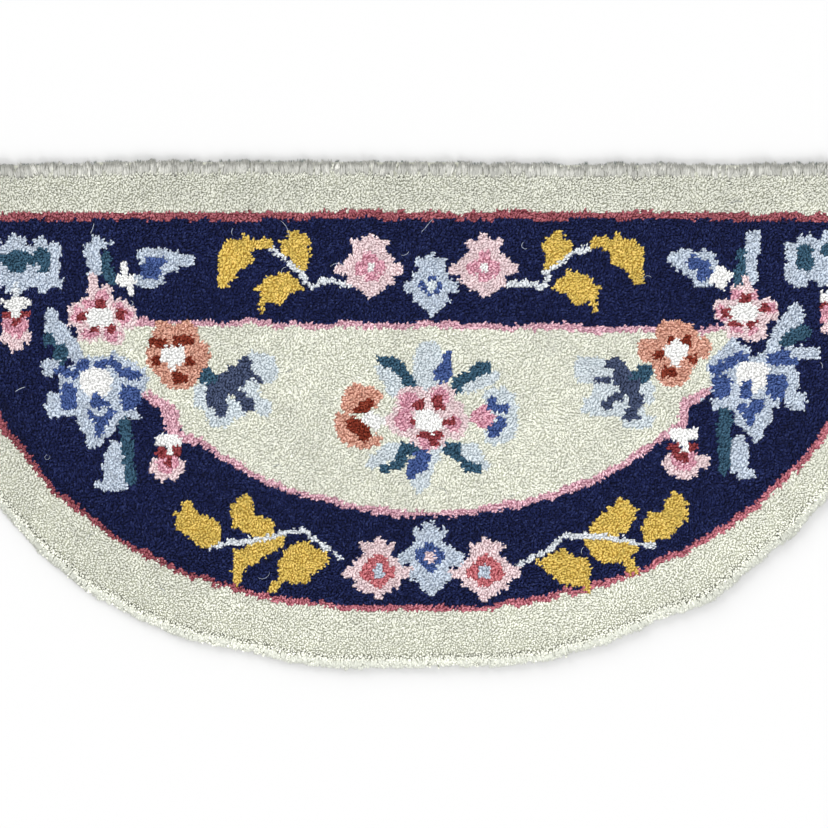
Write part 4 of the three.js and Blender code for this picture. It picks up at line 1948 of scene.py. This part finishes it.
@dataclass
class Pile:
    """The cut pile: leaning strands all over the carpet, splayed outward at the rim, with fallen fibres."""

    grid: KnotGrid
    pitch: float = 2.5 * MM
    placing: float = 0.4
    root: float = 4.4 * MM
    top: float = 11.7 * MM
    top_unevenness: float = 0.55 * MM
    root_fall: float = 2.6 * MM
    top_fall: float = 2.8 * MM
    radius: float = 1.45 * MM
    radius_spread: Point = (0.8, 1.2)
    shoulder_swell: float = 0.35
    stops: tuple[Point, ...] = ((-0.55, 0.0), (0.15, 0.87), (0.45, 1.0))
    lean: float = 5.4 * MM
    lean_spread: Point = (0.65, 1.2)
    lie: float = 45.0
    swirl: float = 75.0
    scatter: float = 1.5 * MM
    patch: float = 15.0 * MM
    margin: float = 5.0 * MM
    margin_scatter: float = 2.2 * MM
    straight_scatter: float = 0.8
    shoulder: float = 16.0 * MM
    splay: float = 4.4 * MM
    straight_splay: float = 7.0 * MM
    straight_power: float = 1.5
    calm: float = 42.0 * MM
    calming: float = 0.8
    straight_inset: float = 11.0 * MM
    fuzz: float = 1.0 * MM
    middle_tone: float = 0.5
    tone_unevenness: float = 0.24
    blotch: float = 0.3
    blotch_patch: float = 7.0 * MM
    # Painted shade: strands by the straight edge are toned darker.
    straight_edge_shade: float = 0.15
    # Painted light: strands on the curved rim's shoulder are toned lighter, lifting the shade there.
    shoulder_shine: float = 0.35
    # The lower-left border is toned darker, more so further left, in a band inside the curved rim.
    left_darkening: float = 0.26
    left_darkening_from: float = 170.0 * MM
    left_darkening_run: float = 200.0 * MM
    left_darkening_width: float = 75.0 * MM
    fibre_margin: float = 38.4 * MM
    pale_fibres: int = 90
    dark_fibres: int = 36
    pieces: list[bpy.types.Object] = field(default_factory=list)

    def inset(self, x: Array, y: Array) -> tuple[Array, Array, Array]:
        """Measure how far places lie inside the rim, less where the straight edge's tufts cover more.

        Args:
            x: Places across.
            y: Places along.

        Returns:
            The distance inside and the outward direction of the nearest edge.
        """
        gap, out_x, out_y = self.grid.rim.inset(x, y)
        return gap - self.straight_inset * (out_y > STRAIGHT), out_x, out_y

    def places(self, rng: np.random.Generator) -> Places:
        """Spread the strands' places evenly inside the rim.

        Args:
            rng: Source of their unevenness.

        Returns:
            Places across and along.
        """
        rim = self.grid.rim
        row_pitch = self.pitch * math.sqrt(0.75)
        columns = np.arange(rim.x.min(), rim.x.max(), self.pitch)
        rows = np.arange(rim.y.min(), rim.y.max(), row_pitch)
        x, y = np.meshgrid(columns, rows)
        x = x + 0.5 * self.pitch * (np.arange(len(rows)) % 2)[:, None]
        x = (x + rng.uniform(-self.placing, self.placing, x.shape) * self.pitch).ravel()
        y = (y + rng.uniform(-self.placing, self.placing, y.shape) * self.pitch).ravel()
        gap, _, out_y = self.inset(x, y)
        ragged = self.margin_scatter * (1.0 + self.straight_scatter * (out_y > STRAIGHT))
        within = gap + rng.normal(0.0, ragged) >= self.margin
        return x[within], y[within]

    def grown(self, x: Array, y: Array, rng: np.random.Generator) -> Strands:
        """Grow strands whose leaning tops lie at places on the carpet.

        Args:
            x: Places across.
            y: Places along.
            rng: Source of their lean, height and tone.

        Returns:
            The strands.
        """
        count = len(x)
        gap, out_x, out_y = self.inset(x, y)
        straight = out_y > STRAIGHT
        edge = nearness(gap, self.shoulder, self.margin)
        turn = np.radians(self.lie + self.swirl * 2.0 * (smooth_noise(x, y, self.patch, rng) - 0.5))
        reach = self.lean * rng.uniform(*self.lean_spread, count)
        lean_x = np.cos(turn) * reach + rng.normal(0.0, self.scatter, count)
        lean_y = np.sin(turn) * reach + rng.normal(0.0, self.scatter, count)
        kept = 1.0 - self.calming * np.where(straight, edge, nearness(gap, self.calm, self.margin))
        splay = np.where(straight, self.straight_splay * edge**self.straight_power, self.splay * edge)
        lean_x = lean_x * kept + out_x * splay
        lean_y = lean_y * kept + out_y * splay
        top = self.top - np.abs(rng.normal(0.0, self.top_unevenness, count)) - self.top_fall * edge**2
        root = self.root - self.root_fall * edge**2
        line = np.stack(
            [
                np.stack([x + share * lean_x, y + share * lean_y, root + rise * (top - root)], axis=1)
                for share, rise in self.stops
            ],
            axis=1,
        )
        swell = 1.0 + self.shoulder_swell * edge * ~straight
        radius = np.outer(self.radius * rng.uniform(*self.radius_spread, count) * swell, SPINDLE)
        tone = self.middle_tone + self.blotch * (smooth_noise(x, y, self.blotch_patch, rng) - 0.5)
        # Painted shade by the straight edge, painted light on the curved shoulder.
        shine = self.shoulder_shine * edge * (1.0 - edge)
        tone = tone + np.where(straight, -self.straight_edge_shade * edge, shine)
        # Darker towards the far left of the curved border, less on the rim's shoulder.
        darkened_share = np.clip((-x - self.left_darkening_from) / self.left_darkening_run, 0.0, 1.0)
        darkened_share = darkened_share * (gap < self.left_darkening_width) * (out_y < 0.0) * (1.0 - edge)
        tone = np.clip(rng.normal(tone - self.left_darkening * darkened_share, self.tone_unevenness), 0.0, 1.0)
        return Strands(line, radius, tone)

    def zone(self, x: Array, y: Array, wools: Array) -> Array:
        """Name the piece of pile that each strand belongs to.

        Args:
            x: Places across.
            y: Places along.
            wools: Places of the strands' wools in WOOLS.

        Returns:
            A piece name for each strand.
        """
        chart = self.grid.chart
        down = (self.grid.straight_edge - y) / self.grid.pitch
        names = np.array([f"{wool.name.lower()}_pile" for wool in WOOLS], dtype="U40")[wools]
        ivory = wools == WOOLS.index(Wool.IVORY)
        navy = wools == WOOLS.index(Wool.NAVY)
        in_field = chart.band.covers(x / self.grid.pitch, down)
        halves = np.where(x < 0.0, "left", "right")
        names[ivory & in_field] = np.char.add("ivory_field_", halves)[ivory & in_field]
        names[ivory & ~in_field] = np.char.add("ivory_border_", halves)[ivory & ~in_field]
        names[ivory & ~in_field & (down < chart.band.top)] = "ivory_border_straight"
        names[navy] = np.char.add("navy_band_", halves)[navy]
        return names

    def add(self, name: str, strands: Strands, wool: Wool, rng: np.random.Generator) -> None:
        """Make one piece of the pile, dress it and set it on the carpet's body.

        Args:
            name: The piece's name.
            strands: Its strands.
            wool: Its wool.
            rng: Source of each strand's roll.
        """
        piece = strands.build(name, rng)
        piece.data.materials.append(WoolFinish().material(wool))
        seat(piece)
        self.pieces.append(piece)
        LOG.info("%s: %d strands", name, len(strands.line))

    def build(self, rng: np.random.Generator) -> None:
        """Make the whole pile, one piece for each wool and zone.

        Args:
            rng: Source of the hand's unevenness.
        """
        x, y = self.places(rng)
        strands = self.grown(x, y, rng)
        wools = self.grid.nearest(*(axis + rng.uniform(-self.fuzz, self.fuzz, len(x)) for axis in (x, y)))
        zones = self.zone(x, y, wools)
        for name in np.unique(zones):
            chosen = zones == name
            self.add(str(name), strands.pick(chosen), WOOLS[wools[chosen][0]], rng)
        rim_tufts = RimTufts(self.grid)
        tufts, straight, foot = rim_tufts.grown(rng)
        # Painted shade: the curved rim's tufts take the darker rim copy of the ivory.
        self.add("curved_rim_tufts", tufts.pick(~straight), Wool.RIM_WHITE, rng)
        # Painted shade: the straight rim's tufts take the greyer rim wool.
        straight_tufts = tufts.pick(straight & ~foot)
        straight_tufts.rise = rim_tufts.straight_rise
        self.add("straight_rim_tufts", straight_tufts, Wool.RIM_GREY, rng)
        # Painted shadow: the floor row of the straight rim takes the dark foot wool.
        self.add("straight_rim_foot", tufts.pick(straight & foot), Wool.RIM_FOOT, rng)
        fibres = FallenFibres(self.grid, self.top, self.fibre_margin)
        pale = fibres.dropped(self.pale_fibres, Wool.NAVY, rng)
        self.add("pale_fallen_fibres", pale, Wool.LIGHT_BLUE, rng)
        dark = fibres.dropped(self.dark_fibres, Wool.IVORY, rng)
        self.add("dark_fallen_fibres", dark, Wool.SLATE, rng)


class Light(Enum):
    """The studio's broad lights: height and bearing in degrees, softness in degrees, strength."""

    FRONT = (33.0, -76.0, 30.0, 1.72)
    BACK = (27.0, 128.0, 30.0, 1.76)


@dataclass
class Studio:
    """A pale floor, soft light and the camera straight above the carpet."""

    floor_size: float = 60.0
    floor_gap: float = 0.5 * MM
    floor_colour: Colour = (216, 216, 216)
    floor_roughness: float = 0.9
    floor_gloss: float = 0.1
    sky: float = 0.9
    picture_width: float = 0.962
    middle: Point = (-0.0139, -0.0016)
    lens: float = 85.0
    sensor: float = 36.0
    pile_top: float = 0.0115

    def floor(self) -> None:
        """Lay the pale floor, seen through from below so that the carpet's back can be looked at."""
        bpy.ops.object.select_all(action="DESELECT")
        bpy.ops.mesh.primitive_plane_add(size=self.floor_size)
        floor = bpy.context.object
        floor.name = "studio_floor"
        made, tree = new_material("pale_floor")
        surface = tree.add("ShaderNodeBsdfPrincipled")
        surface.inputs["Base Color"].default_value = linear(self.floor_colour)
        surface.inputs["Roughness"].default_value = self.floor_roughness
        surface.inputs["Specular IOR Level"].default_value = self.floor_gloss
        below = tree.add("ShaderNodeNewGeometry").outputs["Backfacing"]
        ray = tree.add("ShaderNodeLightPath").outputs["Ray Length"]
        near = tree.maths("LESS_THAN", ray, self.floor_gap)
        one_sided = tree.add("ShaderNodeMixShader")
        tree.join(tree.maths("MAXIMUM", below, near), one_sided.inputs["Fac"])
        tree.join(surface.outputs["BSDF"], one_sided.inputs[1])
        tree.join(tree.add("ShaderNodeBsdfTransparent").outputs["BSDF"], one_sided.inputs[2])
        tree.join(one_sided.outputs["Shader"], tree.add("ShaderNodeOutputMaterial").inputs["Surface"])
        floor.data.materials.append(made)

    def lights(self) -> None:
        """Hang the soft lights and set the even light of the room."""
        for light in Light:
            height, bearing, softness, strength = light.value
            lamp = bpy.data.lights.new(f"{light.name.lower()}_light", "SUN")
            lamp.angle = math.radians(softness)
            lamp.energy = strength
            holder = bpy.data.objects.new(lamp.name, lamp)
            holder.rotation_euler = (math.radians(90.0 - height), 0.0, math.radians(bearing + 90.0))
            bpy.context.scene.collection.objects.link(holder)
        world = bpy.data.worlds.new("even_room")
        world.use_nodes = True
        sky = world.node_tree.nodes["Background"].inputs
        sky["Color"].default_value = (1.0, 1.0, 1.0, 1.0)
        sky["Strength"].default_value = self.sky
        bpy.context.scene.world = world

    def camera(self) -> None:
        """Hang the camera straight above, with the straight edge at the top of the picture."""
        camera = bpy.data.cameras.new("overhead_camera")
        camera.lens = self.lens
        camera.sensor_width = self.sensor
        holder = bpy.data.objects.new(camera.name, camera)
        rise = self.picture_width * self.lens / self.sensor
        holder.location = (self.middle[0], self.middle[1], self.pile_top + rise)
        bpy.context.scene.collection.objects.link(holder)
        bpy.context.scene.camera = holder

    def build(self) -> None:
        """Set the studio up."""
        self.floor()
        self.lights()
        self.camera()
        bpy.context.scene.view_settings.view_transform = "Standard"


def main() -> None:
    """Make the carpet and the studio round it."""
    logging.basicConfig(level=logging.INFO, format="%(name)s %(message)s")
    rng = np.random.default_rng(SEED)
    Studio().build()
    rim = RimLine.of_solid(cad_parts[CAD_NODE])
    grid = KnotGrid(rim, KnotChart())
    grid.tie(rng)
    foundation = KnotLayer(grid, "woven_foundation", margin=7.0 * MM, level=0.0, far_level=2.0 * MM)
    sheet = foundation.build(KnottedBack(grid.pitch).material(), rng)
    packed = KnotLayer(
        grid, "packed_pile", margin=4.0 * MM, level=8.4 * MM, far_level=1.0 * MM,
        shoulder=23.0 * MM, fall=5.0 * MM, unevenness=0.35 * MM,
    )
    bed = packed.build(WoolFinish().packed(), rng)
    pile = Pile(grid)
    pile.build(rng)
    rim.area()


if __name__ == "__main__":
    main()
